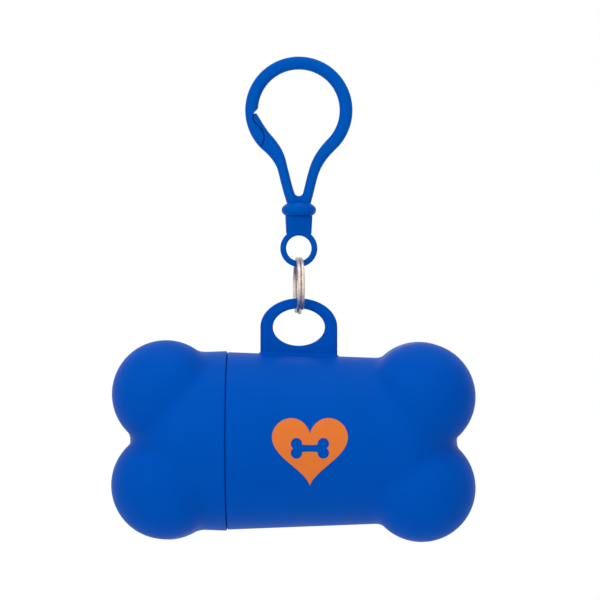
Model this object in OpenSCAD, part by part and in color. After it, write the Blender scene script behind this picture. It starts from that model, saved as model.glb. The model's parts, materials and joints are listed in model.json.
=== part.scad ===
// Bone-shaped dog poop bag dispenser that hangs from a moulded clip.
// Lengths are millimetres. +X runs along the bone, +Y to its back, +Z up.
// The origin is the centre of the clip's loop, which hangs on a lead or a belt.

/* [Clip] */
// Inner radius of the round loop at the top of the clip
loop_r = 9.1; // [8:0.1:11]
// Width of the clip's wire seen from the front
clip_wire = 2.9; // [2.6:0.1:3.4]
// Thickness of the clip from front to back
clip_thick = 2.9; // [2.4:0.1:3.4]
// Distance from the loop's centre down to the underside of the collar
clip_len = 23.6; // [22.5:0.1:27]
// Width of each leg where it meets the collar
leg_w = 2.3; // [2:0.1:2.6]
// Angle below the horizontal at which the legs leave the round loop
leave_angle = 45; // [40:1:49]
// Lean of the legs at their foot, from the vertical
leg_lean = 17; // [10:1:19]
// Depth of the parting line between nose and gate, from the loop's outside
split_depth = 2.2; // [2:0.05:2.4]
// Swing of the S-shaped parting line to either side
split_wave = 0.5; // [0.2:0.05:0.6]
// Radius that rounds the tip of the hook's nose
nose_tip_r = 3; // [2:0.1:3.5]
// Gap between the hook's nose and the gate
gate_gap = 0.2; // [0.1:0.05:0.3]
// Extra width of the gate towards the inside of the loop
gate_swell = 0.8; // [0.4:0.1:1]
// Radius of the rounded foot on which the gate flexes
knuckle_r = 1.15; // [1:0.05:1.3]

/* [Swivel] */
// Largest radius of the collar
collar_r = 3.85; // [3.5:0.05:4.5]
// Height of the collar
collar_h = 2.6; // [2.2:0.1:3]
// Half width of the waist where the legs meet the collar
waist_r = 2.65; // [2.5:0.05:2.9]
// Turn of the swivel and its ring on the stem, in degrees
swivel_turn = 5.5; // [0:0.5:12]
// Radius of the swivel's stem
stem_r = 1.2; // [1:0.05:1.3]
// Radius of the stem's snap head
stem_head_r = 1.65; // [1.5:0.05:1.75]
// Running gap round the stem
stem_fit = 0.08; // [0.05:0.01:0.1]
// Distance from the collar's underside to the centre of the eye
eye_drop = 7.25; // [7:0.05:9]
// Inner radius of the eye
eye_r = 2.83; // [2.6:0.01:3.2]
// Thickness of the eye's round wire
eye_wire = 1.34; // [1.2:0.02:1.5]
// Radius of the swivel's neck where it meets the collar
neck_top_r = 3.03; // [2.8:0.01:3.2]

/* [Split ring] */
// Outside diameter of the split ring
ring_od = 12.8; // [12:0.1:15]
// Thickness of the steel wire
ring_wire = 0.78; // [0.7:0.01:0.9]
// Gap between the ring and what it hangs in
ring_fit = 0.1; // [0.08:0.01:0.15]

/* [Tab] */
// Width of the hanging tab
tab_w = 17.2; // [16:0.1:20]
// Thickness of the tab
tab_thick = 2.4; // [2:0.1:3]
// Width of the oval hole in the tab
hole_w = 11.6; // [10.5:0.1:12.5]
// Height of the oval hole in the tab
hole_h = 8.3; // [7.5:0.1:9]
// Height of the bar above the hole
tab_bar = 2.3; // [2:0.1:3]
// Height of the web between the hole and the case
tab_web = 2.05; // [1.5:0.05:3]

/* [Case] */
// Step by which the rim of the cap stands proud of the body
cap_lip = 0.3; // [0.1:0.05:0.4]
// Draft of the tube on both halves, in degrees
draft = 2.2; // [1:0.1:2.6]
// Distance from the tab's centre to the seam
seam_x = 15.9; // [12:0.1:18]
// Radius of each lobe
lobe_r = 11.95; // [11:0.05:13]
// How far the lobes stand proud of the tube
lobe_proud = 2.2; // [1.5:0.1:3]
// Distance from the lobe centres to the tip of the round end between them
end_reach = 8.15; // [7.2:0.05:8.8]
// How far the lobes run out to the front and to the back
lobe_deep = 6.2; // [5:0.1:7]
// Length of the round end of the body
body_dome = 12.4; // [11:0.1:13.4]
// Length of the round end of the cap
cap_dome = 14.6; // [13:0.1:16]
// Softness of the hollows where lobe and tube run together
blend = 1.2; // [0.8:0.1:4]
// Wall thickness
wall = 1.4; // [1.2:0.05:1.7]
// Chamfer on both rims at the seam
rim_chamfer = 0.35; // [0.2:0.05:0.5]
// Turn of the cap on the neck, in degrees
cap_turn = 6; // [0:1:20]
// Opening between the rim of the cap and the rim of the body
seam_gap = 0.1; // [0.05:0.05:0.2]

/* [Neck] */
// Length of the neck that carries the cap
neck_len = 7; // [5.5:0.1:8.5]
// Wall thickness of the neck
neck_wall = 1.3; // [1.1:0.05:1.5]
// Running gap between the neck and the cap
neck_fit = 0.1; // [0.06:0.01:0.15]

/* [Bag slot] */
// Length of the slot in the back
slot_len = 26; // [20:0.5:28]
// Height of the slot
slot_h = 6.4; // [5.5:0.1:8]
// Distance of the slot's middle from the tab's centre
slot_x = 3; // [0:0.5:5]

/* [Roll of bags] */
// Outside radius of the wound bags
roll_r = 13.3; // [11:0.1:16]
// Length of the roll
roll_len = 58; // [50:0.5:70]
// Room between the roll and the inside of the body at the seam
roll_room = 5.1; // [4.9:0.1:7]
// Room between the roll and the tip of the body's round end
body_room = 4.85; // [4.5:0.05:9]
// Room between the roll and the tip of the cap's round end
cap_room = 7.2; // [6.5:0.1:12]
// Outside radius of the card core
core_r = 6.5; // [5.5:0.1:8]
// Wall of the card core
core_wall = 0.9; // [0.7:0.1:1.2]
// Gap between the roll and the round ends that it lies on
roll_fit = 0.15; // [0.1:0.05:0.3]

/* [Hidden] */

// how finely round things are drawn
$fn = 64;
wire_sides = 16;
ring_sides = 8;
ring_step = 7.5;
arc_step = 6;
leg_steps = 16;
skin_sides = 64;
skin_cuts = 18;
cast_reach = 40;

body_blue = "#0a4fb4";
steel_grey = "#b8b2a8";
card_brown = "#b99a72";
film_green = "#7cb87a";

// clip
loop_mid_r = loop_r + clip_wire / 2;
loop_out_r = loop_r + clip_wire;
collar_top = -clip_len + collar_h;
foot_sink = 0.4;
foot_z = collar_top - foot_sink;
foot_x = waist_r - leg_w / 2 - 0.2;
crotch_r = 1.05;
crotch_z = collar_top + 1.8;
web_thick = clip_thick - 0.5;
// how the legs bend: pull of the curve at the loop and at the foot, and how the width runs out
bend_top = 0.44;
bend_foot = 0.47;
taper_len = 0.55;
gate_w = clip_wire + gate_swell;
gate_mid_r = loop_out_r - gate_w / 2;
split_mid_r = loop_out_r - split_depth;
notch_angle = 182.3;
notch_slant = 47;
gate_tip_angle = 183.6;
bulb_angle = 191;
notch_wave = 12.2;
nose_angle = 210;
nose_end_angle = 232;
pocket_end_angle = 250;
split_steps = 16;
tip_tuck = 10;
past = 2;
edge = 0.3;
bead_r = collar_h / 2;
knuckle_rise = 2.95;
knuckle_fit = 0.08;
knuckle_w = 0.7 * clip_thick;
gate_foot_w = 2 * knuckle_r - 0.1;
seat_w = clip_thick + 0.2;
seat_lip = 0.6;
knuckle = [-foot_x - knuckle_rise * tan(leg_lean), foot_z + knuckle_rise];

// swivel
stem_play = 0.12;
head_h = 0.9;
head_z = collar_top - head_h - 0.35;
swivel_top = -clip_len - stem_play;
eye_z = -clip_len - eye_drop;
neck_low = eye_z + eye_r + eye_wire / 4;
neck_low_r = neck_top_r - 0.2;
neck_flat_top = 1.9;
neck_flat_low = 1.1;

// split ring: two turns that lie side by side along X
ring_mid_r = ring_od / 2 - ring_wire / 2;
ring_z = eye_z - eye_r + ring_fit + ring_wire - ring_od / 2;
ring_cross = 8;
ring_cut = 23;
ring_ramp = 20;
ring_shift = ring_wire / 2 + 0.01;

// tab
pivot_z = ring_z - ring_mid_r;
bundle_r = ring_wire + 0.08;
hole_top = pivot_z + bundle_r + ring_fit / 2;
hole_z = hole_top - hole_h / 2;
tab_top = hole_top + tab_bar;
tab_arch = tab_top - hole_z;
tab_foot_z = hole_top - hole_h - tab_web;
tab_sink = 1;

// case, with its axis along X
body_r = roll_r + roll_room + wall;
cap_r = body_r + cap_lip;
body_end = seam_x + roll_len / 2 + body_room + wall;
cap_end = roll_len / 2 + cap_room + wall - seam_x - seam_gap;
body_lobe_u = body_end - end_reach;
cap_lobe_u = cap_end - end_reach;
lobe_rise = body_r + lobe_proud - lobe_r;
axis_z = tab_foot_z - (body_r - seam_x * tan(draft));
bore_r = cap_r - wall;
neck_r = bore_r - neck_fit;
neck_in_r = neck_r - neck_wall;
bore_depth = neck_len + 0.4;
lead_in = 0.5;
body_cut = 5;
dome_cuts = 12;
cap_cut = 3;
core_show = 0.5;
roll_z = axis_z - (min(hollow_r(roll_len / 2 + seam_x, body_r, body_end, body_dome),
                       hollow_r(roll_len / 2 - seam_x, cap_r, cap_end, cap_dome),
                       neck_in_r) - roll_r - roll_fit);

// points on an arc round c, from angle a0 to a1
function arc(c, r, a0, a1, n) =
    [for (i = [0:n]) let (a = a0 + (a1 - a0) * i / n) c + r * [cos(a), sin(a)]];

// smallest of two distances, with the corner between them rounded over k
function soft_min(a, b, k) = min(a, b) - pow(max(k - abs(a - b), 0), 2) / (4 * k);

// radius of the drafted tube at a distance u from the seam
function tube_r(u, rim_r) = rim_r - u * tan(draft);

// share of the full radius that is left at a distance past the start of a round end
function dome_share(past_start, len) = sqrt(max(1 - pow(max(past_start, 0) / len, 2), 0));

// radius of the turned hollow at a distance u from the seam
function hollow_r(u, rim_r, end, dome) =
    (tube_r(u, rim_r) - wall) * dome_share(u - (end - dome), dome - wall);

// distance from the tube, whose end is round like half an ellipse
function tube_gap(u, r, rim_r, end, dome) =
    let (start = end - dome, start_r = tube_r(start, rim_r))
    u < start ? r - tube_r(u, rim_r)
        : norm([(u - start) / dome, r / tube_r(u, rim_r)]) * start_r - start_r;

// distance from a lobe, a round bar that runs from front to back with ball ends
function lobe_gap(p, lobe_u, side) =
    norm([p[0] - lobe_u, max(abs(p[1]) - lobe_deep, 0), p[2] - side * lobe_rise]) - lobe_r;

// distance from the whole half bone: tube, upper lobe and lower lobe run together
function bone_gap(p, rim_r, lobe_u, end, dome) =
    soft_min(tube_gap(p[0], norm([p[1], p[2]]), rim_r, end, dome),
             soft_min(lobe_gap(p, lobe_u, 1), lobe_gap(p, lobe_u, -1), blend), blend);

// how far a ray from o along d runs before it leaves the bone
function reach(o, d, near, far, rim_r, lobe_u, end, dome, n = 18) =
    let (m = (near + far) / 2)
    n == 0 ? m
    : bone_gap(o + m * d, rim_r, lobe_u, end, dome) < 0
        ? reach(o, d, m, far, rim_r, lobe_u, end, dome, n - 1)
        : reach(o, d, near, m, rim_r, lobe_u, end, dome, n - 1);

// one ring of skin points: rays from o that lean at angle t from the axis
function skin_ring(o, t, rim_r, lobe_u, end, dome, inset = 0) =
    [for (j = [0:skin_sides - 1])
        let (a = 360 * j / skin_sides,
             d = [cos(t), sin(t) * cos(a), sin(t) * sin(a)])
        o + (reach(o, d, 0, cast_reach, rim_r, lobe_u, end, dome) - inset) * d];

// rings from the seam to the tip of a half bone
function skin_rings(rim_r, lobe_u, end, dome, near_rim) =
    let (mid = [lobe_u, 0, 0],
         span = lobe_r + blend / 2,
         first = max(lobe_u - span, near_rim))
    concat(
        [skin_ring([0, 0, 0], 90, rim_r, lobe_u, end, dome, rim_chamfer)],
        [skin_ring([rim_chamfer, 0, 0], 90, rim_r, lobe_u, end, dome)],
        [for (u = [near_rim:near_rim:first - near_rim / 2])
            skin_ring([u, 0, 0], 90, rim_r, lobe_u, end, dome)],
        [for (i = [0:skin_cuts / 2 - 1])
            skin_ring([first + (lobe_u - first) * i / (skin_cuts / 2), 0, 0], 90,
                      rim_r, lobe_u, end, dome)],
        [for (i = [0:skin_cuts - 1])
            skin_ring(mid, 90 * (1 - i / skin_cuts), rim_r, lobe_u, end, dome)]);

// closes rings of points into a solid; the last ring is joined to a tip point
module skin_solid(rings, tip) {
    n = len(rings[0]);
    count = len(rings);
    points = concat([for (ring = rings) for (p = ring) p], [tip]);
    sides = [for (i = [0:count - 2]) for (j = [0:n - 1]) for (half = [0, 1])
        let (k = (j + 1) % n)
        half == 0 ? [i * n + j, (i + 1) * n + j, i * n + k]
                  : [i * n + k, (i + 1) * n + j, (i + 1) * n + k]];
    ends = [for (j = [0:n - 1]) [(count - 1) * n + j, n * count, (count - 1) * n + (j + 1) % n]];
    rim = [[for (j = [0:n - 1]) j]];
    polyhedron(points = points, faces = concat(sides, ends, rim), convexity = 6);
}

// outer skin of a half bone, lying along +X from its seam
module bone_skin(rim_r, lobe_u, end, dome, near_rim) {
    o = [lobe_u, 0, 0];
    tip = o + reach(o, [1, 0, 0], 0, cast_reach, rim_r, lobe_u, end, dome) * [1, 0, 0];
    skin_solid(skin_rings(rim_r, lobe_u, end, dome, near_rim), tip);
}

// turned hollow of a half bone, with the round end and the two lobes
module bone_hollow(mouth_r, rim_r, lobe_u, end, dome) {
    rotate([0, 90, 0])
        rotate_extrude()
            polygon(concat([[0, -past - neck_len], [mouth_r, -past - neck_len], [mouth_r, 0]],
                           [for (i = [0:dome_cuts])
                               let (u = end - dome + (dome - wall) * sin(90 * i / dome_cuts))
                               [hollow_r(u, rim_r, end, dome), u]]));
    for (side = [-1, 1])
        for (face = [-1, 1])
            translate([lobe_u, face * lobe_deep, side * lobe_rise]) sphere(r = lobe_r - wall);
}

// sweeps an oval section along points in the XZ plane; each stop is [x, z, width]
module clip_sweep(stops) {
    n = wire_sides;
    last = len(stops) - 1;
    points = [for (i = [0:last])
        let (a = stops[max(i - 1, 0)], b = stops[min(i + 1, last)],
             dir = [b[0] - a[0], b[1] - a[1]] / norm([b[0] - a[0], b[1] - a[1]]))
        for (j = [0:n - 1])
            let (t = 360 * j / n, side = stops[i][2] / 2 * cos(t))
            [stops[i][0] - side * dir[1], clip_thick / 2 * sin(t), stops[i][1] + side * dir[0]]];
    sides = [for (i = [0:last - 1]) for (j = [0:n - 1]) for (half = [0, 1])
        let (k = (j + 1) % n)
        half == 0 ? [i * n + j, i * n + k, (i + 1) * n + j]
                  : [i * n + k, (i + 1) * n + k, (i + 1) * n + j]];
    start = [[for (j = [n - 1:-1:0]) j]];
    finish = [[for (j = [0:n - 1]) last * n + j]];
    polyhedron(points = points, faces = concat(start, sides, finish), convexity = 4);
}

// stops down a leg, from the loop to its foot: an S bend drawn as one Bezier curve
function leg_stops(mid_r, foot, w_top, w_foot) =
    let (from = mid_r * [cos(leave_angle), -sin(leave_angle)],
         span = norm(foot - from),
         p1 = from + bend_top * span * [-sin(leave_angle), -cos(leave_angle)],
         p2 = foot + bend_foot * span * [sin(leg_lean), cos(leg_lean)])
    [for (i = [0:leg_steps])
        let (t = i / leg_steps, s = 1 - t,
             p = s * s * s * from + 3 * s * s * t * p1 + 3 * s * t * t * p2 + t * t * t * foot,
             w = w_foot + (w_top - w_foot) * (1 - min(t / taper_len, 1)))
        [p[0], p[1], w]];

// stops round the loop between two angles, with the outer edge on the loop's outline
function loop_stops(w0, w1, a0, a1) =
    let (n = ceil(abs(a1 - a0) / arc_step))
    [for (i = [0:n])
        let (a = a0 + (a1 - a0) * i / n, w = w0 + (w1 - w0) * i / n, r = loop_out_r - w / 2)
        [r * cos(a), r * sin(a), w]];

function flipped(stops) = [for (i = [len(stops) - 1:-1:0]) stops[i]];
function mirrored(stops) = [for (s = stops) [-s[0], s[1], s[2]]];
function but_first(stops) = [for (i = [1:len(stops) - 1]) stops[i]];

// radius of the S-shaped parting line at an angle round the loop
function split_at(a) =
    let (half_wave = a < bulb_angle ? notch_wave : nose_angle - bulb_angle)
    split_mid_r + split_wave * cos(180 * (a - bulb_angle) / half_wave);

// the flat shape of the hook's nose, grown by a gap
module nose_zone(grow) {
    from = notch_angle - past;
    c = (split_at(nose_angle) + nose_tip_r) * [cos(nose_angle), sin(nose_angle)];
    polygon(concat([for (i = [0:split_steps])
                        let (a = from + (nose_angle - from) * i / split_steps)
                        (split_at(a) - grow) * [cos(a), sin(a)]],
                   arc(c, nose_tip_r + grow, nose_angle - 180 - tip_tuck,
                       nose_angle - 270 - tip_tuck, 8),
                   arc([0, 0], loop_out_r + past, nose_end_angle - past, from, 6)));
}

// the flat shape cleared from the loop for the gate, with a slanted face above the gate's tip
module gate_pocket() {
    notch = split_at(notch_angle) * [cos(notch_angle), sin(notch_angle)];
    slant_end = notch + past * [cos(notch_slant), sin(notch_slant)];
    difference() {
        polygon(concat([notch, slant_end, [0, slant_end[1]], [0, 0]],
                       arc([0, 0], loop_out_r + past, pocket_end_angle, notch_angle, 6)));
        nose_zone(0);
    }
}

// stands a flat shape up in the XZ plane, centred on y = 0
module upright(thick) {
    rotate([90, 0, 0]) linear_extrude(height = thick, center = true) children();
}

// turned collar with a full round rim
module collar() {
    rotate_extrude()
        polygon(concat([[0, -clip_len]],
                       arc([collar_r - bead_r, -clip_len + bead_r], bead_r, -90, 90, 12),
                       [[0, collar_top]]));
}

// web that closes the crotch between the two legs
module crotch_web() {
    top = crotch_z + crotch_r;
    upright(web_thick) difference() {
        translate([-foot_x, foot_z]) square([2 * foot_x, top - foot_z]);
        translate([0, top]) circle(r = crotch_r);
    }
}

module hook_body() {
    color(body_blue) difference() {
        union() {
            clip_sweep(concat(
                flipped(leg_stops(loop_mid_r, [foot_x, foot_z], clip_wire, leg_w)),
                but_first(loop_stops(clip_wire, clip_wire, -leave_angle, nose_end_angle))));
            clip_sweep([[-foot_x, foot_z, leg_w], [knuckle[0], knuckle[1], leg_w]]);
            collar();
            crotch_web();
        }
        upright(clip_thick + past) gate_pocket();
        // seat of the gate's foot
        translate([knuckle[0], 0, knuckle[1]]) {
            rotate([90, 0, 0]) cylinder(r = knuckle_r + knuckle_fit, h = seat_w, center = true);
            translate([0, 0, knuckle_r - seat_lip])
                cube([2 * knuckle_r + past, seat_w, 2 * knuckle_r], center = true);
        }
        // socket of the swivel's stem
        translate([0, 0, -clip_len - past])
            cylinder(r = stem_r + stem_fit, h = head_z + clip_len + past + stem_play);
        translate([0, 0, head_z - stem_play])
            cylinder(r = stem_head_r + stem_fit, h = head_h + 2 * stem_play);
    }
}

module gate_arm() {
    color(body_blue) difference() {
        union() {
            clip_sweep(concat(
                flipped(mirrored(leg_stops(gate_mid_r, [-knuckle[0], knuckle[1]], gate_w,
                                           gate_foot_w))),
                but_first(loop_stops(gate_w, clip_wire, 180 + leave_angle, gate_tip_angle))));
            translate([knuckle[0], 0, knuckle[1]])
                rotate([90, 0, 0]) cylinder(r = knuckle_r, h = knuckle_w, center = true);
        }
        upright(clip_thick + past) nose_zone(gate_gap);
    }
}

// the swivel's stem, with a snap head that is wider than its bore
module stem() {
    rotate_extrude()
        polygon([[0, swivel_top - edge], [stem_r, swivel_top - edge], [stem_r, head_z],
                 [stem_head_r, head_z], [stem_head_r, head_z + head_h / 2],
                 [stem_r, head_z + head_h], [0, head_z + head_h]]);
}

// the swivel's neck, round under the collar and flattened towards the eye
module swivel_neck() {
    intersection() {
        rotate_extrude()
            polygon([[0, neck_low], [neck_low_r, neck_low], [neck_top_r, swivel_top - edge],
                     [neck_top_r - edge, swivel_top], [0, swivel_top]]);
        rotate([90, 0, 90])
            linear_extrude(height = 4 * neck_top_r, center = true)
                polygon([[-neck_flat_low, neck_low], [neck_flat_low, neck_low],
                         [neck_flat_top, swivel_top], [-neck_flat_top, swivel_top]]);
    }
}

module swivel_eye() {
    color(body_blue) rotate([0, 0, swivel_turn]) {
        stem();
        swivel_neck();
        translate([0, 0, eye_z])
            rotate([90, 0, 0])
                rotate_extrude() translate([eye_r + eye_wire / 2, 0]) circle(d = eye_wire);
    }
}

// place of the wire's middle after an angle t of winding from the crossing, where it jogs
// from the right turn to the left one
function ring_point(t) =
    let (a = ring_cross + t,
         step = min(max((t - 360) / ring_ramp, -1), 1),
         x = -ring_shift * step * (3 - step * step) / 2)
    [x, -sin(a), -cos(a)];

module split_ring() {
    n = ring_sides;
    turns = [for (t = [ring_cut:ring_step:720 - ring_cut]) t];
    points = [for (t = turns)
        let (p = ring_point(t))
        for (j = [0:n - 1])
            let (a = 360 * j / n, r = ring_mid_r + ring_wire / 2 * sin(a))
            [p[0] + ring_wire / 2 * cos(a), r * p[1], r * p[2]]];
    sides = [for (i = [0:len(turns) - 2]) for (j = [0:n - 1]) for (half = [0, 1])
        let (k = (j + 1) % n)
        half == 0 ? [i * n + j, i * n + k, (i + 1) * n + j]
                  : [i * n + k, (i + 1) * n + k, (i + 1) * n + j]];
    start = [[for (j = [n - 1:-1:0]) j]];
    finish = [[for (j = [0:n - 1]) (len(turns) - 1) * n + j]];
    color(steel_grey)
        translate([0, 0, ring_z]) rotate([0, 0, swivel_turn])
            polyhedron(points = points, faces = concat(start, sides, finish), convexity = 6);
}

// hanging tab: straight sides, an arched top and an oval hole
module tab() {
    upright(tab_thick) difference() {
        union() {
            translate([0, hole_z]) scale([1, tab_arch / (tab_w / 2)]) circle(d = tab_w);
            translate([-tab_w / 2, tab_foot_z - tab_sink])
                square([tab_w, hole_z - tab_foot_z + tab_sink]);
        }
        translate([0, hole_z]) scale([1, hole_h / hole_w]) circle(d = hole_w);
    }
}

// round-ended slot through the back, where the next bag is drawn out
module bag_slot() {
    translate([slot_x, bore_r / 2, axis_z]) rotate([-90, 0, 0]) linear_extrude(height = body_r) {
        square([slot_len - slot_h, slot_h], center = true);
        for (side = [-1, 1])
            translate([side * (slot_len - slot_h) / 2, 0]) circle(d = slot_h);
    }
}

// neck that carries the cap, with a lead-in on its tip
module neck() {
    rotate([0, 90, 0]) {
        translate([0, 0, -neck_len]) cylinder(r1 = neck_r - lead_in, r2 = neck_r, h = lead_in);
        translate([0, 0, lead_in - neck_len]) cylinder(r = neck_r, h = neck_len - lead_in + past);
    }
}

module body_shell() {
    color(body_blue) difference() {
        union() {
            translate([-seam_x, 0, axis_z]) {
                bone_skin(body_r, body_lobe_u, body_end, body_dome, body_cut);
                neck();
            }
            tab();
        }
        translate([-seam_x, 0, axis_z])
            bone_hollow(neck_in_r, body_r, body_lobe_u, body_end, body_dome);
        bag_slot();
    }
}

module end_cap() {
    color(body_blue)
        translate([-seam_x - seam_gap, 0, axis_z])
            rotate([-cap_turn, 0, 0]) mirror([1, 0, 0]) difference() {
                bone_skin(cap_r, cap_lobe_u, cap_end, cap_dome, cap_cut);
                bone_hollow(bore_r, cap_r, cap_lobe_u, cap_end, cap_dome);
                translate([-past, 0, 0])
                    rotate([0, 90, 0]) cylinder(r = bore_r, h = bore_depth + past);
            }
}

// a tube along X, centred on the roll's axis
module roll_tube(r_out, r_in, len) {
    translate([0, 0, roll_z]) rotate([0, 90, 0]) difference() {
        cylinder(r = r_out, h = len, center = true);
        cylinder(r = r_in, h = len + past, center = true);
    }
}

module roll_core() {
    color(card_brown) roll_tube(core_r, core_r - core_wall, roll_len);
}

module bag_roll() {
    color(film_green) roll_tube(roll_r, core_r, roll_len - 2 * core_show);
}

hook_body();
gate_arm();
swivel_eye();
split_ring();
body_shell();
end_cap();
roll_core();
bag_roll();
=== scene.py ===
"""Bone-shaped dog poop bag dispenser: looks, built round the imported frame."""

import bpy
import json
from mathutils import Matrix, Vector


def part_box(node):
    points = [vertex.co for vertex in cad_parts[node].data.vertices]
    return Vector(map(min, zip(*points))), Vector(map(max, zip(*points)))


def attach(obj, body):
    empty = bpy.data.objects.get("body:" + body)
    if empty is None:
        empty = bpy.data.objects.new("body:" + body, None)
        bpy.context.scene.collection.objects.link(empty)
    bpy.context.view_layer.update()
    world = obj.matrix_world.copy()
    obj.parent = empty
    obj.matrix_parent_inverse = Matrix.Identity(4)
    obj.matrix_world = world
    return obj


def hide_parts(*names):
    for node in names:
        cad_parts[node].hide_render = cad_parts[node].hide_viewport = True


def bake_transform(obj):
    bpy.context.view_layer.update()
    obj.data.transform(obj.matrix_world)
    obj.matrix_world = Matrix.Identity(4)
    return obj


bl_info = {
    "name": "Bone bag dispenser",
    "version": (1, 0, 0),
    "blender": (4, 5, 0),
    "location": "3D View > Sidebar > Dispenser",
    "description": "Builds a bone-shaped bag dispenser with its clip, ring and roll of bags",
    "category": "Object",
}

import json
import math

import bmesh
import bpy
import numpy as np
from bpy.props import FloatProperty, FloatVectorProperty, IntProperty, PointerProperty
from mathutils import Matrix, Vector

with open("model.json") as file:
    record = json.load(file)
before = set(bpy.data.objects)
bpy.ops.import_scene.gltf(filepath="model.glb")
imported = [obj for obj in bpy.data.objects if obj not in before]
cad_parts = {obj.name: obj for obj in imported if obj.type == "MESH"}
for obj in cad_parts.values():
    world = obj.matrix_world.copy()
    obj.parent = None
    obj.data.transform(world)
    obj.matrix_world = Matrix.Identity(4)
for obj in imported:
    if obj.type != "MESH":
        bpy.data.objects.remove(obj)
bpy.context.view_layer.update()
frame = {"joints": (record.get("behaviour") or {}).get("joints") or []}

MM = 0.001
# what is smaller counts as nothing
TINY = 1e-9
JOINTS = {joint["name"]: joint for joint in frame["joints"]}


def joint_place(name):
    """Place of a hinge's axis in the shared frame, in metres."""
    return Vector(JOINTS[name]["pos_m"])


# ---------------------------------------------------------------- sizes

# sizes of the solids that their corners and joints don't show
LOBE_R = 11.95 * MM
LOBE_RISE = 10.05 * MM
NECK_LEN = 7.0 * MM
SEAM_GAP = 0.1 * MM
CLIP_THICK = 2.9 * MM

# lowest and highest corners of the solids
BODY_LOW, BODY_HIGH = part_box("body_shell")
CAP_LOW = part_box("end_cap")[0]
HOOK_LOW, HOOK_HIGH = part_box("hook_body")
EYE_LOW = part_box("swivel_eye")[0]
RING_LOW, RING_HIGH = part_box("split_ring")
ROLL_LOW, ROLL_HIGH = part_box("bag_roll")
CORE_LOW, CORE_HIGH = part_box("roll_core")

# places that follow from them
AXIS_Z = BODY_LOW.z + LOBE_RISE + LOBE_R
SEAM_X = BODY_LOW.x + NECK_LEN
BODY_LOBE = BODY_HIGH.x - LOBE_R - SEAM_X
CAP_LOBE = SEAM_X - SEAM_GAP - CAP_LOW.x - LOBE_R
TAB_TOP = BODY_HIGH.z
LOOP_OUT_R = HOOK_HIGH.z
COLLAR_LOW = HOOK_LOW.z
COLLAR_R = HOOK_HIGH.y
RING_OUT_R = (RING_HIGH.z - RING_LOW.z) / 2
RING_Z = (RING_HIGH.z + RING_LOW.z) / 2
EYE_BOTTOM = EYE_LOW.z
ROLL_Z = joint_place("roll_spin").z


class CaseSizes(bpy.types.PropertyGroup):
    """Sizes of the bone-shaped case."""
    body_radius: FloatProperty(name="Body radius", description="Outer radius of the body at the seam",
                               default=19.8 * MM, unit="LENGTH")
    cap_lip: FloatProperty(name="Cap lip", description="Step by which the cap stands proud at the seam",
                           default=0.27 * MM, unit="LENGTH")
    draft: FloatProperty(name="Draft", description="Draft of the tube on both halves",
                         default=math.radians(2.2), subtype="ANGLE")
    end_reach: FloatProperty(name="End reach", description="From the lobe centres to the tip of the end",
                             default=8.15 * MM, unit="LENGTH")
    lobe_deep: FloatProperty(name="Lobe depth", description="How far the lobes run to front and back",
                             default=6.2 * MM, unit="LENGTH")
    body_dome: FloatProperty(name="Body dome", description="Length of the round end of the body",
                             default=12.4 * MM, unit="LENGTH")
    cap_dome: FloatProperty(name="Cap dome", description="Length of the round end of the cap",
                            default=14.6 * MM, unit="LENGTH")
    hollow: FloatProperty(name="Hollow", description="Softness of the hollows between lobe and tube",
                          default=1.2 * MM, unit="LENGTH")
    wall: FloatProperty(name="Wall", description="Wall thickness of the case",
                        default=1.4 * MM, unit="LENGTH")
    neck_wall: FloatProperty(name="Neck wall", description="Wall thickness of the neck",
                             default=1.3 * MM, unit="LENGTH")
    neck_fit: FloatProperty(name="Neck fit", description="Running gap between neck and cap",
                            default=0.1 * MM, unit="LENGTH")
    rim_round: FloatProperty(name="Rim round", description="Radius that rounds both rims at the seam",
                             default=0.35 * MM, unit="LENGTH")
    cap_turn: FloatProperty(name="Cap turn", description="Turn of the cap on the neck",
                            default=math.radians(6.0), subtype="ANGLE")
    slot_len: FloatProperty(name="Slot length", description="Length of the bag slot",
                            default=26.0 * MM, unit="LENGTH")
    slot_height: FloatProperty(name="Slot height", description="Height of the bag slot",
                               default=6.4 * MM, unit="LENGTH")
    slot_x: FloatProperty(name="Slot place", description="Middle of the slot along the bone",
                          default=3.0 * MM, unit="LENGTH")
    slot_round: FloatProperty(name="Slot round", description="Radius that rounds the slot's lip",
                              default=0.5 * MM, unit="LENGTH")
    sides: IntProperty(name="Sides", description="Points round the case", default=160, min=32)


class TabSizes(bpy.types.PropertyGroup):
    """Sizes of the tab that the case hangs by."""
    width: FloatProperty(name="Width", description="Width of the tab", default=17.2 * MM, unit="LENGTH")
    thick: FloatProperty(name="Thickness", description="Thickness of the tab",
                         default=2.4 * MM, unit="LENGTH")
    hole_width: FloatProperty(name="Hole width", description="Width of the oval hole",
                              default=11.6 * MM, unit="LENGTH")
    hole_height: FloatProperty(name="Hole height", description="Height of the oval hole",
                               default=8.3 * MM, unit="LENGTH")
    bar: FloatProperty(name="Bar", description="Height of the bar above the hole",
                       default=2.3 * MM, unit="LENGTH")
    web: FloatProperty(name="Web", description="Height of the web below the hole",
                       default=2.05 * MM, unit="LENGTH")
    edge: FloatProperty(name="Edge", description="Radius that rounds the tab's edges",
                        default=0.5 * MM, unit="LENGTH")
    root: FloatProperty(name="Root", description="Radius of the fillet at the tab's root",
                        default=0.6 * MM, unit="LENGTH")


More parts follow.
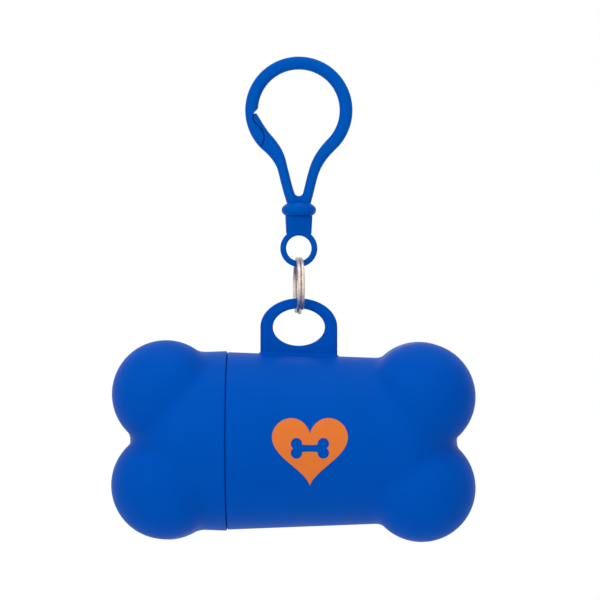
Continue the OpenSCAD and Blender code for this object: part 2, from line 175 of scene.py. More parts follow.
class ClipSizes(bpy.types.PropertyGroup):
    """Sizes of the moulded clip and its swivel."""
    wire: FloatProperty(name="Wire", description="Width of the clip's loop", default=2.9 * MM, unit="LENGTH")
    leg: FloatProperty(name="Leg", description="Width of a leg at its foot", default=2.3 * MM, unit="LENGTH")
    swell: FloatProperty(name="Swell", description="Extra width of the gate",
                         default=0.8 * MM, unit="LENGTH")
    tip: FloatProperty(name="Tip", description="Width of the gate's tip",
                       default=2.65 * MM, unit="LENGTH")
    leave: FloatProperty(name="Leave angle", description="Angle at which the legs leave the loop",
                         default=math.radians(45.0), subtype="ANGLE")
    lean: FloatProperty(name="Lean", description="Lean of the legs at their foot",
                        default=math.radians(17.0), subtype="ANGLE")
    waist: FloatProperty(name="Waist", description="Half width of the waist above the collar",
                         default=2.65 * MM, unit="LENGTH")
    collar_height: FloatProperty(name="Collar height", description="Height of the collar",
                                 default=2.6 * MM, unit="LENGTH")
    crotch_radius: FloatProperty(name="Crotch radius", description="Radius between the legs",
                                 default=1.05 * MM, unit="LENGTH")
    gap: FloatProperty(name="Gap", description="Gap between the hook's nose and the gate",
                       default=0.36 * MM, unit="LENGTH")
    tongue: FloatProperty(name="Tongue", description="Height of the tongue in that gap",
                          default=0.16 * MM, unit="LENGTH")
    squareness: FloatProperty(name="Squareness", description="How square the clip's section is",
                              default=2.5, min=2.0)
    eye_wire: FloatProperty(name="Eye wire", description="Thickness of the eye's wire",
                            default=1.34 * MM, unit="LENGTH")
    eye_radius: FloatProperty(name="Eye radius", description="Inner radius of the eye",
                              default=2.83 * MM, unit="LENGTH")
    neck_radius: FloatProperty(name="Neck radius", description="Half width of the swivel's neck",
                               default=3.03 * MM, unit="LENGTH")
    stem_radius: FloatProperty(name="Stem radius", description="Radius of the swivel's stem",
                               default=1.2 * MM, unit="LENGTH")
    stem_head: FloatProperty(name="Stem head", description="Radius of the stem's snap head",
                             default=1.65 * MM, unit="LENGTH")


class RingSizes(bpy.types.PropertyGroup):
    """Sizes of the split ring."""
    wire: FloatProperty(name="Wire", description="Thickness of the steel wire",
                        default=0.78 * MM, unit="LENGTH")
    yaw: FloatProperty(name="Turn", description="Turn of ring and swivel about the upright axis",
                       default=math.radians(5.5), subtype="ANGLE")
    crossing: FloatProperty(name="Crossing", description="Where the two turns cross, from the bottom",
                            default=math.radians(8.0), subtype="ANGLE")
    cut: FloatProperty(name="Cut", description="Angle by which the wire's ends stop short of the crossing",
                       default=math.radians(23.0), subtype="ANGLE")
    ramp: FloatProperty(name="Ramp", description="Half the angle over which the wire crosses",
                        default=math.radians(20.0), subtype="ANGLE")


class FinishColours(bpy.types.PropertyGroup):
    """Colours of the finishes, in linear light."""
    case_blue: FloatVectorProperty(name="Case blue", description="Moulded case", subtype="COLOR",
                                   size=3, default=(0.0, 0.077, 0.445))
    clip_blue: FloatVectorProperty(name="Clip blue", description="Moulded clip", subtype="COLOR",
                                   size=3, default=(0.0, 0.089, 0.455))
    print_orange: FloatVectorProperty(name="Print orange", description="Printed heart", subtype="COLOR",
                                      size=3, default=(0.755, 0.178, 0.026))
    steel: FloatVectorProperty(name="Ring steel", description="Plated steel wire", subtype="COLOR",
                               size=3, default=(0.58, 0.5, 0.45))
    card: FloatVectorProperty(name="Core card", description="Card core of the roll", subtype="COLOR",
                              size=3, default=(0.47, 0.32, 0.17))
    film: FloatVectorProperty(name="Bag film", description="Film of the bags", subtype="COLOR",
                              size=3, default=(0.02, 0.022, 0.025))
    stage: FloatVectorProperty(name="Stage", description="Paper floor", subtype="COLOR",
                               size=3, default=(0.9, 0.9, 0.9))


class DispenserSettings(bpy.types.PropertyGroup):
    """All the sizes and colours of the dispenser."""
    case: PointerProperty(type=CaseSizes)
    tab: PointerProperty(type=TabSizes)
    clip: PointerProperty(type=ClipSizes)
    ring: PointerProperty(type=RingSizes)
    colours: PointerProperty(type=FinishColours)


def settings():
    """The dispenser's settings in this scene."""
    return bpy.context.scene.bone_dispenser


# ---------------------------------------------------------------- mesh helpers

def new_piece(name, points, faces, material, crease=40):
    """Makes an object from points and faces, with its normals outwards and soft shading."""
    mesh = bpy.data.meshes.new(name)
    mesh.from_pydata([tuple(p) for p in points], [], [tuple(f) for f in faces])
    work = bmesh.new()
    work.from_mesh(mesh)
    bmesh.ops.recalc_face_normals(work, faces=work.faces)
    work.to_mesh(mesh)
    work.free()
    piece = bpy.data.objects.new(name, mesh)
    bpy.context.scene.collection.objects.link(piece)
    mesh.materials.append(material)
    shade(piece, crease)
    return piece


def shade(piece, crease=40):
    """Shades a piece softly, with edges sharper than a crease angle in degrees left crisp."""
    mesh = piece.data
    mesh.polygons.foreach_set("use_smooth", [True] * len(mesh.polygons))
    mesh.set_sharp_from_angle(angle=math.radians(crease))
    mesh.update()


def grid_faces(rows, sides, close_rows=False):
    """Quads between neighbouring rings of points; each ring is closed on itself."""
    last = rows if close_rows else rows - 1
    faces = []
    for i in range(last):
        low, high = i * sides, ((i + 1) % rows) * sides
        for j in range(sides):
            k = (j + 1) % sides
            faces.append((low + j, low + k, high + k, high + j))
    return faces


def skin_rings(rings, tip_start=None, tip_end=None):
    """Points and faces of a closed skin over rings, with a tip point or a flat end at each end."""
    rings = [np.asarray(ring, float) for ring in rings]
    sides = len(rings[0])
    points = np.concatenate(rings)
    faces = grid_faces(len(rings), sides)
    last = (len(rings) - 1) * sides
    for tip, first in ((tip_start, 0), (tip_end, last)):
        if tip is None:
            faces.append(tuple(range(first, first + sides)))
        else:
            points = np.vstack([points, np.asarray(tip, float)[None]])
            end = len(points) - 1
            faces += [(first + j, first + (j + 1) % sides, end) for j in range(sides)]
    return points, faces


def apply_boolean(piece, other, operation):
    """Joins another piece to this one or cuts it away, and removes the other."""
    modifier = piece.modifiers.new("shape", "BOOLEAN")
    modifier.operation = operation
    modifier.solver = "EXACT"
    modifier.object = other
    graph = bpy.context.evaluated_depsgraph_get()
    result = bpy.data.meshes.new_from_object(piece.evaluated_get(graph))
    old = piece.data
    piece.modifiers.clear()
    piece.data = result
    bpy.data.meshes.remove(old)
    bpy.data.objects.remove(other)
    return piece


def full_turn(sides):
    """Angles spread evenly round a full turn."""
    return np.arange(sides) * 2 * np.pi / sides


def level_ring(radius, height, sides):
    """A circle round the upright axis at a height."""
    turn = full_turn(sides)
    return np.stack([radius * np.cos(turn), radius * np.sin(turn), np.full(sides, height)], 1)


def squared_round(sides, squareness):
    """Places across and along a section between a circle and a square, with a half width of one."""
    turn = full_turn(sides)
    power = 2 / squareness
    across = np.sign(np.cos(turn)) * np.abs(np.cos(turn)) ** power
    along = np.sign(np.sin(turn)) * np.abs(np.sin(turn)) ** power
    return across, along


def moved(points, matrix):
    """Points turned and moved by a 4 by 4 matrix."""
    m = np.array(matrix)
    return np.asarray(points, float) @ m[:3, :3].T + m[:3, 3]


def arc(start, end, steps):
    """Angles from a start to an end in equal steps, both ends included."""
    return np.linspace(start, end, steps + 1)


# ---------------------------------------------------------------- materials

# roughness of the two plastics, and how far it varies over them
CASE_ROUGH = 0.42
CLIP_ROUGH = 0.38
ROUGH_SPREAD = 0.04


def new_material(name):
    """A material with nothing but shader and output; gives its node tree and its shader too."""
    material = bpy.data.materials.new(name)
    material.use_nodes = True
    tree = material.node_tree
    tree.nodes.clear()
    output = tree.nodes.new("ShaderNodeOutputMaterial")
    shader = tree.nodes.new("ShaderNodeBsdfPrincipled")
    tree.links.new(shader.outputs["BSDF"], output.inputs["Surface"])
    return material, tree, shader


def noise(tree, scale, low=0.0, high=1.0, detail=2.0, stretch=(1.0, 1.0, 1.0)):
    """Soft noise over the piece that runs from low to high; scale is in features a metre."""
    coords = tree.nodes.new("ShaderNodeTexCoord")
    mapping = tree.nodes.new("ShaderNodeMapping")
    mapping.inputs["Scale"].default_value = stretch
    texture = tree.nodes.new("ShaderNodeTexNoise")
    texture.inputs["Scale"].default_value = scale
    texture.inputs["Detail"].default_value = detail
    spread = tree.nodes.new("ShaderNodeMapRange")
    spread.inputs["To Min"].default_value = low
    spread.inputs["To Max"].default_value = high
    tree.links.new(coords.outputs["Object"], mapping.inputs["Vector"])
    tree.links.new(mapping.outputs["Vector"], texture.inputs["Vector"])
    tree.links.new(texture.outputs["Fac"], spread.inputs["Value"])
    return spread.outputs["Result"]


def tint(tree, shader, colour, factor, spread):
    """Runs the base colour from a darker to a lighter tint, by a factor from 0 to 1."""
    mix = tree.nodes.new("ShaderNodeMix")
    mix.data_type = "RGBA"
    # the node has sockets for each kind of value, and these are the ones for colours
    share, dark, light, result = mix.inputs[0], mix.inputs[6], mix.inputs[7], mix.outputs[2]
    dark.default_value = [c * (1 - spread) for c in colour] + [1.0]
    light.default_value = [min(c * (1 + spread), 1.0) for c in colour] + [1.0]
    tree.links.new(factor, share)
    tree.links.new(result, shader.inputs["Base Color"])


def roughen(tree, shader, scale, low, high):
    """Varies the roughness between two values."""
    tree.links.new(noise(tree, scale, low, high), shader.inputs["Roughness"])


def grain(tree, shader, height, strength, depth):
    """Adds a fine bump of a depth in metres to a shader."""
    bump = tree.nodes.new("ShaderNodeBump")
    bump.inputs["Strength"].default_value = strength
    bump.inputs["Distance"].default_value = depth
    tree.links.new(height, bump.inputs["Height"])
    tree.links.new(bump.outputs["Normal"], shader.inputs["Normal"])


def plastic(name, colour, roughness):
    """Satin moulded plastic with a faint flow mottle and a fine spark-eroded grain."""
    material, tree, shader = new_material(name)
    shader.inputs["IOR"].default_value = 1.46
    shader.inputs["Specular IOR Level"].default_value = 0.03
    shader.inputs["Specular Tint"].default_value = (0.15, 0.8, 1.0, 1.0)
    tint(tree, shader, colour, noise(tree, 90.0), spread=0.06)
    roughen(tree, shader, 220.0, roughness - ROUGH_SPREAD, roughness + ROUGH_SPREAD)
    grain(tree, shader, noise(tree, 5200.0, detail=1.0), strength=0.12, depth=0.02 * MM)
    return material


def print_ink(colour):
    """Opaque printed ink, a little mottled where it lies thinner."""
    material, tree, shader = new_material("print_ink")
    shader.inputs["IOR"].default_value = 1.4
    shader.inputs["Specular IOR Level"].default_value = 0.2
    tint(tree, shader, colour, noise(tree, 700.0), spread=0.05)
    roughen(tree, shader, 900.0, 0.42, 0.5)
    return material


def plated_steel(colour):
    """Drawn and plated steel wire with faint draw marks."""
    material, tree, shader = new_material("plated_steel")
    shader.inputs["Metallic"].default_value = 1.0
    tint(tree, shader, colour, noise(tree, 1400.0, detail=4.0), spread=0.4)
    roughen(tree, shader, 1500.0, 0.38, 0.48)
    marks = noise(tree, 3000.0, stretch=(1.0, 0.2, 0.2))
    grain(tree, shader, marks, strength=0.1, depth=0.01 * MM)
    return material


def roll_card(colour):
    """Brown card with fibres and a matt face."""
    material, tree, shader = new_material("roll_card")
    shader.inputs["Roughness"].default_value = 0.85
    fibres = noise(tree, 500.0, detail=6.0, stretch=(0.3, 1.0, 1.0))
    tint(tree, shader, colour, fibres, spread=0.18)
    grain(tree, shader, fibres, strength=0.25, depth=0.05 * MM)
    return material


def bag_film(colour):
    """Thin wound film that crinkles along the roll."""
    material, tree, shader = new_material("bag_film")
    tint(tree, shader, colour, noise(tree, 120.0), spread=0.3)
    roughen(tree, shader, 300.0, 0.28, 0.45)
    crinkle = noise(tree, 420.0, detail=4.0, stretch=(0.15, 1.0, 1.0))
    grain(tree, shader, crinkle, strength=0.45, depth=0.15 * MM)
    return material


def stage_paper(colour):
    """Matt pale paper of the floor."""
    material, tree, shader = new_material("stage_paper")
    shader.inputs["Roughness"].default_value = 0.9
    shader.inputs["Specular IOR Level"].default_value = 0.1
    tint(tree, shader, colour, noise(tree, 2.0), spread=0.005)
    return material


def shared_material(name, maker, *values):
    """The named material, made by its maker the first time and shared after that."""
    return bpy.data.materials.get(name) or maker(*values)


def case_plastic():
    """Blue of the body, the cap and the tab."""
    return shared_material("case_blue", plastic, "case_blue", settings().colours.case_blue, CASE_ROUGH)


def clip_plastic():
    """Slightly glossier blue of the clip and the swivel."""
    return shared_material("clip_blue", plastic, "clip_blue", settings().colours.clip_blue, CLIP_ROUGH)


def ring_steel():
    """Steel of the split ring."""
    return shared_material("plated_steel", plated_steel, settings().colours.steel)


def roll_core_card():
    """Card of the roll's core."""
    return shared_material("roll_card", roll_card, settings().colours.card)


def roll_film():
    """Film of the wound bags."""
    return shared_material("bag_film", bag_film, settings().colours.film)


def heart_ink():
    """Ink of the printed heart."""
    return shared_material("print_ink", print_ink, settings().colours.print_orange)


# ---------------------------------------------------------------- the case

# crease angle of the case, in degrees
CASE_CREASE = 35
# how far the smooth cap stays inside its flat-sided solid
CAP_INSET = 0.03 * MM
# spacing of the skin's rings along the lobes and along the tube, and steps over the end
LOBE_STEP = 0.45 * MM
TUBE_STEP = 1.6 * MM
END_STEPS = 40
# how far along a ray the skin is looked for, and how often the search halves its bounds
RAY_LIMIT = 40 * MM
RAY_HALVINGS = 26
# edges of the neck's root and bore, and the lead on its tip
NECK_EDGE = 0.2 * MM
NECK_LEAD = 0.5 * MM
# where the body's inner skin starts, and the run over which it thickens towards the neck
INNER_START = 2 * MM
THICK_RUN = 22 * MM
# how far the slot's lip turns and in how many steps, and how far its cutter runs on straight and then clear
# of the tube
LIP_TURN = math.radians(72)
LIP_STEPS = 5
LIP_PAST = 1.2 * MM
SLOT_CLEAR = 3 * MM
# how far the tab and the fillet at its root sink into the tube, and steps over the tab's rounded edge
TAB_SINK = 1.0 * MM
TAB_EDGE_STEPS = 8
ROOT_SINK = 0.8 * MM
# how far that fillet turns, the radius of its corners, and the steps of both
ROOT_TURN = math.radians(80)
ROOT_STEPS = 6
ROOT_CORNER = 0.45 * MM
CORNER_STEPS = 5
# depth of the cap's mouth beyond the neck, and the edge at both ends of the mouth
MOUTH_ROOM = 0.4 * MM
MOUTH_EDGE = 0.15 * MM


def soft_min(a, b, k):
    """Smallest of two distances, with the corner between them rounded over k."""
    return np.minimum(a, b) - np.maximum(k - np.abs(a - b), 0) ** 2 / (4 * k)


class HalfBone:
    """The smooth skin of one half of the bone, lying along +X from its seam."""

    def __init__(self, rim, lobe, dome, sizes, inset=0.0):
        """Rim radius, distance of the lobes, length of the dome, case sizes and an inset all over."""
        self.rim = rim
        self.lobe = lobe
        self.dome = dome
        self.inset = inset
        self.dome_start = lobe + sizes.end_reach - dome
        self.deep = sizes.lobe_deep
        self.slope = math.tan(sizes.draft)
        self.soft = sizes.hollow

    def tube_radius(self, u):
        """Radius of the drafted tube at a distance from the seam."""
        return self.rim - u * self.slope

    def tube_gap(self, u, r):
        """Distance from the tube, whose end is round like half an ellipse."""
        past = np.maximum(u - self.dome_start, 0) / self.dome
        full = self.tube_radius(self.dome_start)
        dome = (np.hypot(past, r / self.tube_radius(u)) - 1) * full
        return np.where(past > 0, dome, r - self.tube_radius(u))

    def lobe_gap(self, u, y, z, side):
        """Distance from a lobe, a round bar from front to back with ball ends."""
        beyond = np.maximum(np.abs(y) - self.deep, 0)
        return np.sqrt((u - self.lobe) ** 2 + beyond ** 2 + (z - side * LOBE_RISE) ** 2) - LOBE_R

    def gap(self, points):
        """Distance of points from the skin, negative inside."""
        u, y, z = points[:, 0], points[:, 1], points[:, 2]
        tube = self.tube_gap(u, np.hypot(y, z))
        lobes = soft_min(self.lobe_gap(u, y, z, 1), self.lobe_gap(u, y, z, -1), self.soft)
        return soft_min(tube, lobes, self.soft) + self.inset

    def reach(self, origin, rays, inset=0.0):
        """How far each ray runs before it comes within an inset of the skin."""
        near = np.zeros(len(rays))
        far = np.full(len(rays), RAY_LIMIT)
        for _ in range(RAY_HALVINGS):
            middle = (near + far) / 2
            inside = self.gap(origin + middle[:, None] * rays) < -inset
            near = np.where(inside, middle, near)
            far = np.where(inside, far, middle)
        return near

    def ring(self, u, lean, sides, inset=0.0, short=0.0):
        """One ring of skin points; its rays start on the axis at u and lean away from it."""
        turn = full_turn(sides)
        rays = np.stack([np.full(sides, math.cos(lean)), math.sin(lean) * np.cos(turn),
                         math.sin(lean) * np.sin(turn)], 1)
        origin = np.array([u, 0.0, 0.0])
        return origin + (self.reach(origin, rays, inset) - short)[:, None] * rays

    def tip(self, inset=0.0):
        """The point where the axis leaves the skin."""
        ray = np.array([[1.0, 0.0, 0.0]])
        origin = np.array([self.lobe, 0.0, 0.0])
        return (origin + self.reach(origin, ray, inset)[:, None] * ray)[0]

    def stations(self, start):
        """Distances from the lobe centres down to a start, close together on the lobes."""
        root = max(self.lobe - LOBE_R - self.soft / 2, start)
        steps = max(int((self.lobe - root) / LOBE_STEP), 1)
        lobes = list(np.linspace(self.lobe, root, steps + 1))
        steps = max(int((root - start) / TUBE_STEP), 1)
        tube = list(np.linspace(root, start, steps + 1))[1:] if root > start else []
        return lobes + tube

    def end_rings(self, sides, inset=0.0):
        """Rings from the tip down to the lobe centres."""
        leans = arc(0, math.pi / 2, END_STEPS)[1:-1]
        return [self.ring(self.lobe, lean, sides, inset) for lean in leans]

    def outer(self, sides, rim_round):
        """Rings of the outer skin from its tip to the rounded rim at the seam."""
        rings = self.end_rings(sides)
        for u in self.stations(rim_round):
            rings.append(self.ring(u, math.pi / 2, sides))
        for turn in arc(0, math.pi / 2, 4)[1:]:
            u = rim_round * (1 - math.sin(turn))
            rings.append(self.ring(u, math.pi / 2, sides, short=rim_round * (1 - math.cos(turn))))
        return rings

    def inner(self, sides, start, wall, thicker=0.0, run=1.0):
        """Rings of the inner skin from a start to its tip; the wall thickens towards the seam."""
        rings = []
        for u in reversed(self.stations(start)):
            short = thicker * max(1 - u / run, 0)
            rings.append(self.ring(u, math.pi / 2, sides, wall, short))
        return rings + self.end_rings(sides, wall)[::-1]


def round_ring(u, radius, sides):
    """A true circle round the axis at a distance from the seam."""
    turn = full_turn(sides)
    return np.stack([np.full(sides, u), radius * np.cos(turn), radius * np.sin(turn)], 1)


def body_bone():
    """Skin of the body's half."""
    sizes = settings().case
    return HalfBone(sizes.body_radius, BODY_LOBE, sizes.body_dome, sizes)


def cap_bone():
    """Skin of the cap's half."""
    sizes = settings().case
    return HalfBone(sizes.body_radius + sizes.cap_lip, CAP_LOBE, sizes.cap_dome, sizes, CAP_INSET)


def bore_radius():
    """Radius of the cap's mouth, in which the neck turns."""
    sizes = settings().case
    return sizes.body_radius + sizes.cap_lip - sizes.wall


def neck_radii():
    """Outer and inner radius of the neck."""
    sizes = settings().case
    outer = bore_radius() - sizes.neck_fit
    return outer, outer - sizes.neck_wall


def neck_profile():
    """Turned profile of the neck, from the body's shoulder round its tip to its bore."""
    outer, inner = neck_radii()
    edge, lead = NECK_EDGE, NECK_LEAD
    profile = [(0.0, outer + edge), (-edge / 3, outer + edge / 3), (-edge, outer)]
    profile += [(-NECK_LEN / 2, outer), (lead - NECK_LEN, outer)]
    profile += [(edge - NECK_LEN, outer - lead + edge / 2), (-NECK_LEN, outer - lead)]
    profile += [(-NECK_LEN, inner + edge), (edge - NECK_LEN, inner), (-NECK_LEN / 2, inner)]
    return profile + [(0.0, inner)]


def body_skin():
    """Closed mesh of the body: outer skin, rim, neck and inner skin."""
    sizes = settings().case
    bone = body_bone()
    sides = sizes.sides
    rings = bone.outer(sides, sizes.rim_round)
    rings += [round_ring(u, radius, sides) for u, radius in neck_profile()]
    thicker = sizes.body_radius - sizes.wall - neck_radii()[1]
    rings += bone.inner(sides, INNER_START, sizes.wall, thicker, THICK_RUN)
    points, faces = skin_rings(rings, bone.tip(), bone.tip(sizes.wall))
    place = Matrix.Translation((SEAM_X, 0, AXIS_Z))
    return new_piece("body_case", moved(points, place), faces, case_plastic())


def slot_outline(grow, half_len, half_height, steps=10):
    """Outline of the round-ended slot, grown outwards."""
    straight = half_len - half_height
    radius = half_height + grow
    right = [(straight + radius * math.cos(a), radius * math.sin(a))
             for a in arc(-math.pi / 2, math.pi / 2, steps)]
    left = [(-straight + radius * math.cos(a), radius * math.sin(a))
            for a in arc(math.pi / 2, 3 * math.pi / 2, steps)]
    return right + left


def slot_stops():
    """Growth of the slot's outline and its depth below the tube, from the lip's foot outwards."""
    flare = settings().case.slot_round
    stops = [(flare * (1 - math.cos(a)), flare * (1 - math.sin(a))) for a in arc(0, LIP_TURN, LIP_STEPS)]
    grow, depth = stops[-1]
    past = (grow + LIP_PAST * math.sin(LIP_TURN), depth - LIP_PAST * math.cos(LIP_TURN))
    return stops + [past, (past[0], -SLOT_CLEAR)]


def slot_cutter():
    """Cutter of the bag slot, whose lip opens in a curve that follows the tube."""
    sizes = settings().case
    bone = body_bone()
    half_len, half_height = sizes.slot_len / 2, sizes.slot_height / 2
    rings = [[(x + sizes.slot_x, bone.tube_radius(0) / 2, AXIS_Z + z)
              for x, z in slot_outline(0, half_len, half_height)]]
    for grow, depth in slot_stops():
        ring = []
        for x, z in slot_outline(grow, half_len, half_height):
            radius = bone.tube_radius(x + sizes.slot_x - SEAM_X)
            ring.append((x + sizes.slot_x, math.sqrt(radius ** 2 - z ** 2) - depth, AXIS_Z + z))
        rings.append(ring)
    points, faces = skin_rings(rings)
    return new_piece("slot_cutter", points, faces, case_plastic())


def hole_centre():
    """Height of the middle of the tab's hole."""
    tab = settings().tab
    return TAB_TOP - tab.bar - tab.hole_height / 2


def tab_outline(angle):
    """Place on the tab's outline at an angle round its hole: an arch over straight sides."""
    tab = settings().tab
    half, arch = tab.width / 2, TAB_TOP - hole_centre()
    drop = tab.hole_height / 2 + tab.web + TAB_SINK
    across, up = math.cos(angle), math.sin(angle)
    if up >= 0:
        reach = 1 / math.hypot(across / half, up / arch)
    else:
        reach = min(half / max(abs(across), TINY), drop / -up)
    return reach * across, hole_centre() + reach * up


def tab_hole(angle):
    """Place on the edge of the tab's hole at an angle round its centre."""
    tab = settings().tab
    return tab.hole_width / 2 * math.cos(angle), hole_centre() + tab.hole_height / 2 * math.sin(angle)


def outline_normals(points):
    """Outward normals of a closed outline that runs anticlockwise."""
    points = np.array(points)
    along = np.roll(points, -1, 0) - np.roll(points, 1, 0)
    normals = np.stack([along[:, 1], -along[:, 0]], 1)
    return normals / np.linalg.norm(normals, axis=1)[:, None]


def edge_loops(outline, normals, way):
    """Loops over the rounded edge of the tab's outline, or of its hole with the opposite way."""
    tab = settings().tab
    quarter = way * math.pi / 2
    loops = []
    for turn in arc(-quarter, quarter, TAB_EDGE_STEPS):
        shift = tab.edge * (math.cos(turn) - 1)
        side = math.copysign(tab.thick / 2 - tab.edge, turn) + tab.edge * math.sin(turn)
        y = 0.0 if abs(turn) < TINY else side
        flat = outline + shift * normals
        loops.append(np.stack([flat[:, 0], np.full(len(flat), y), flat[:, 1]], 1))
    return loops


def tab_piece():
    """The hanging tab with rounded edges round its outline and its hole."""
    steps = 144
    angles = [2 * math.pi * i / steps for i in range(steps)]
    outer = np.array([tab_outline(a) for a in angles])
    inner = np.array([tab_hole(a) for a in angles])
    loops = edge_loops(outer, outline_normals(outer), 1) + edge_loops(inner, -outline_normals(inner), -1)
    faces = grid_faces(len(loops), steps, close_rows=True)
    return new_piece("tab", np.concatenate(loops), faces, case_plastic())


def root_ring(half_x, half_y, height):
    """One ring of the fillet: a rounded oblong that lies on the tube at a height above it."""
    bone = body_bone()
    ring = []
    for side_x, side_y, start in ((1, 1, 0), (-1, 1, 90), (-1, -1, 180), (1, -1, 270)):
        for turn in arc(math.radians(start), math.radians(start + 90), CORNER_STEPS):
            x = side_x * (half_x - ROOT_CORNER) + ROOT_CORNER * math.cos(turn)
            y = side_y * (half_y - ROOT_CORNER) + ROOT_CORNER * math.sin(turn)
            radius = bone.tube_radius(x - SEAM_X)
            ring.append((x, y, AXIS_Z + math.sqrt(radius ** 2 - y ** 2) + height))
    return ring


def tab_root():
    """Fillet round the tab's root, following the tube."""
    tab = settings().tab
    stops = [(tab.root * (1 - math.sin(a)), tab.root * (1 - math.cos(a)))
             for a in arc(0, ROOT_TURN, ROOT_STEPS)]
    stops = [(stops[0][0], -ROOT_SINK)] + stops
    rings = [root_ring(tab.width / 2 + grow, tab.thick / 2 + grow, height) for grow, height in stops]
    points, faces = skin_rings(rings)
    return new_piece("tab_root", points, faces, case_plastic())


def build_body_case():
    """Body of the case with its neck, bag slot and hanging tab."""
    body = body_skin()
    apply_boolean(body, slot_cutter(), "DIFFERENCE")
    apply_boolean(body, tab_root(), "UNION")
    apply_boolean(body, tab_piece(), "UNION")
    shade(body, CASE_CREASE)
    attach(body, "case")
    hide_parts("body_shell")


def build_cap():
    """End cap of the case, turned a little on the neck."""
    sizes = settings().case
    bone = cap_bone()
    sides = sizes.sides
    bore = bore_radius()
    edge = MOUTH_EDGE
    depth = NECK_LEN + MOUTH_ROOM
    rings = bone.outer(sides, sizes.rim_round)
    for u, radius in ((0.0, bore + edge), (edge, bore), (depth / 2, bore), (depth, bore)):
        rings.append(round_ring(u, radius, sides))
    rings += bone.inner(sides, depth + edge, sizes.wall)
    points, faces = skin_rings(rings, bone.tip(), bone.tip(sizes.wall))
    place = (Matrix.Translation((SEAM_X - SEAM_GAP, 0, AXIS_Z))
             @ Matrix.Rotation(-sizes.cap_turn, 4, "X") @ Matrix.Diagonal((-1, 1, 1, 1)))
    cap = new_piece("end_cap_shell", moved(points, place), faces, case_plastic(), CASE_CREASE)
    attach(cap, "cap")
    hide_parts("end_cap")


# ---------------------------------------------------------------- clip and swivel

# crease angle of the clip in degrees, and points round its section
CLIP_CREASE = 38
SECTION_SIDES = 32
# the S-shaped parting line: its middle below the loop's outside, and its wave to each side of that
SPLIT_DEPTH = 1.97 * MM
SPLIT_WAVE = 0.52 * MM
# angles in degrees round the loop, anticlockwise from the right: the line's start in the notch above the
# gate, the gate's tip, the line's crest, the hook's nose, and the ends of the hook and of the gate's pocket
SPLIT_NOTCH = 182.9
SPLIT_TIP = 187.0
SPLIT_CREST = 191.0
SPLIT_NOSE = 209.0
SPLIT_HOOK_END = 232.0
SPLIT_POCKET_END = 250.0
# half a wave of the line on the notch's side of its crest, the slant of the face above the gate's tip, the
# turn of the nose's round end, and how far the nose's shape stops short of the hook's ends, in degrees
SPLIT_NOTCH_WAVE = 16.5
SPLIT_SLANT = 47.0
NOSE_TUCK = 10.0
NOSE_MARGIN = 2.0
# radius of the nose's round end, and reach of the slanted face
NOSE_ROUND = 3.0 * MM
SLANT_REACH = 2 * MM
# radius of the outer side of cutters, clear of the loop, and the steps of it, small rounds and parting line
CLEAR_R = LOOP_OUT_R + 2 * MM
CLEAR_STEPS = 6
ROUND_STEPS = 16
LINE_STEPS = 40
# half depth of the tongue along the nose, and its room in the gate
TONGUE_HALF = 0.75 * MM
TONGUE_FIT = 0.05 * MM

# pull of a leg's curve at the loop and at its foot, and the share over which its width runs out
BEND_TOP = 0.44
BEND_FOOT = 0.47
TAPER = 0.55
# how far a leg's foot stands in from the waist, and how far it sinks into the collar
FOOT_INSET = 0.2 * MM
FOOT_SINK = 0.4 * MM
# soft edge at the end of the gate
TIP_EDGE = 0.25 * MM
# how late the gate's width runs out towards its tip, as a power of the way along
GATE_LATE = 3
# across and up from the knuckle: where the gate's bend starts and where it ends
CROTCH_RISE = 1.8 * MM
CROTCH_INSET = 0.25 * MM

# how far the collar's rim runs up the legs, the powers of its curve, and its rings
RIM_FLARE = 0.2 * MM
RIM_POINT = 2.5
RIM_RUN_OUT = 1.25
RIM_RINGS = 29

# gap between swivel and collar, edge of the neck under it, and draw of its end inside the eye
SWIVEL_GAP = 0.03 * MM
BLOCK_EDGE = 0.12 * MM
BLOCK_DRAW = 0.15 * MM
# how much the neck narrows to the eye, its half depth there and how much more it has at the collar
BLOCK_TAPER = 0.2 * MM
BLOCK_THIN = 0.45 * MM
BLOCK_SWELL = 1.4 * MM
# squareness of the neck at the eye, and how much of it is lost at the collar
BLOCK_SQUARE = 4.5
BLOCK_ROUNDING = 1.7
# rings up the neck between its ends, as shares of its straight part
BLOCK_RINGS = (0.0, 0.25, 0.5, 0.75)
# stem: start below the collar, snap head below the collar's top, its step, band and height
STEM_LOW = 0.42 * MM
HEAD_DROP = 1.25 * MM
HEAD_STEP = 0.05 * MM
HEAD_BAND = 0.45 * MM
HEAD_HEIGHT = 0.9 * MM


def polar(radius, degrees, centre=(0.0, 0.0)):
    """Place at an angle in degrees round a centre, in the clip's plane."""
    angle = math.radians(degrees)
    return centre[0] + radius * math.cos(angle), centre[1] + radius * math.sin(angle)


def polar_arc(radius, start, sweep, steps, centre=(0.0, 0.0)):
    """Places along an arc from a start over a sweep in degrees, both ends included."""
    return [polar(radius, start + sweep * i / steps, centre) for i in range(steps + 1)]


def clip_foot():
    """Place where a leg's middle line ends inside the collar."""
    clip = settings().clip
    return clip.waist - clip.leg / 2 - FOOT_INSET, COLLAR_LOW + clip.collar_height - FOOT_SINK


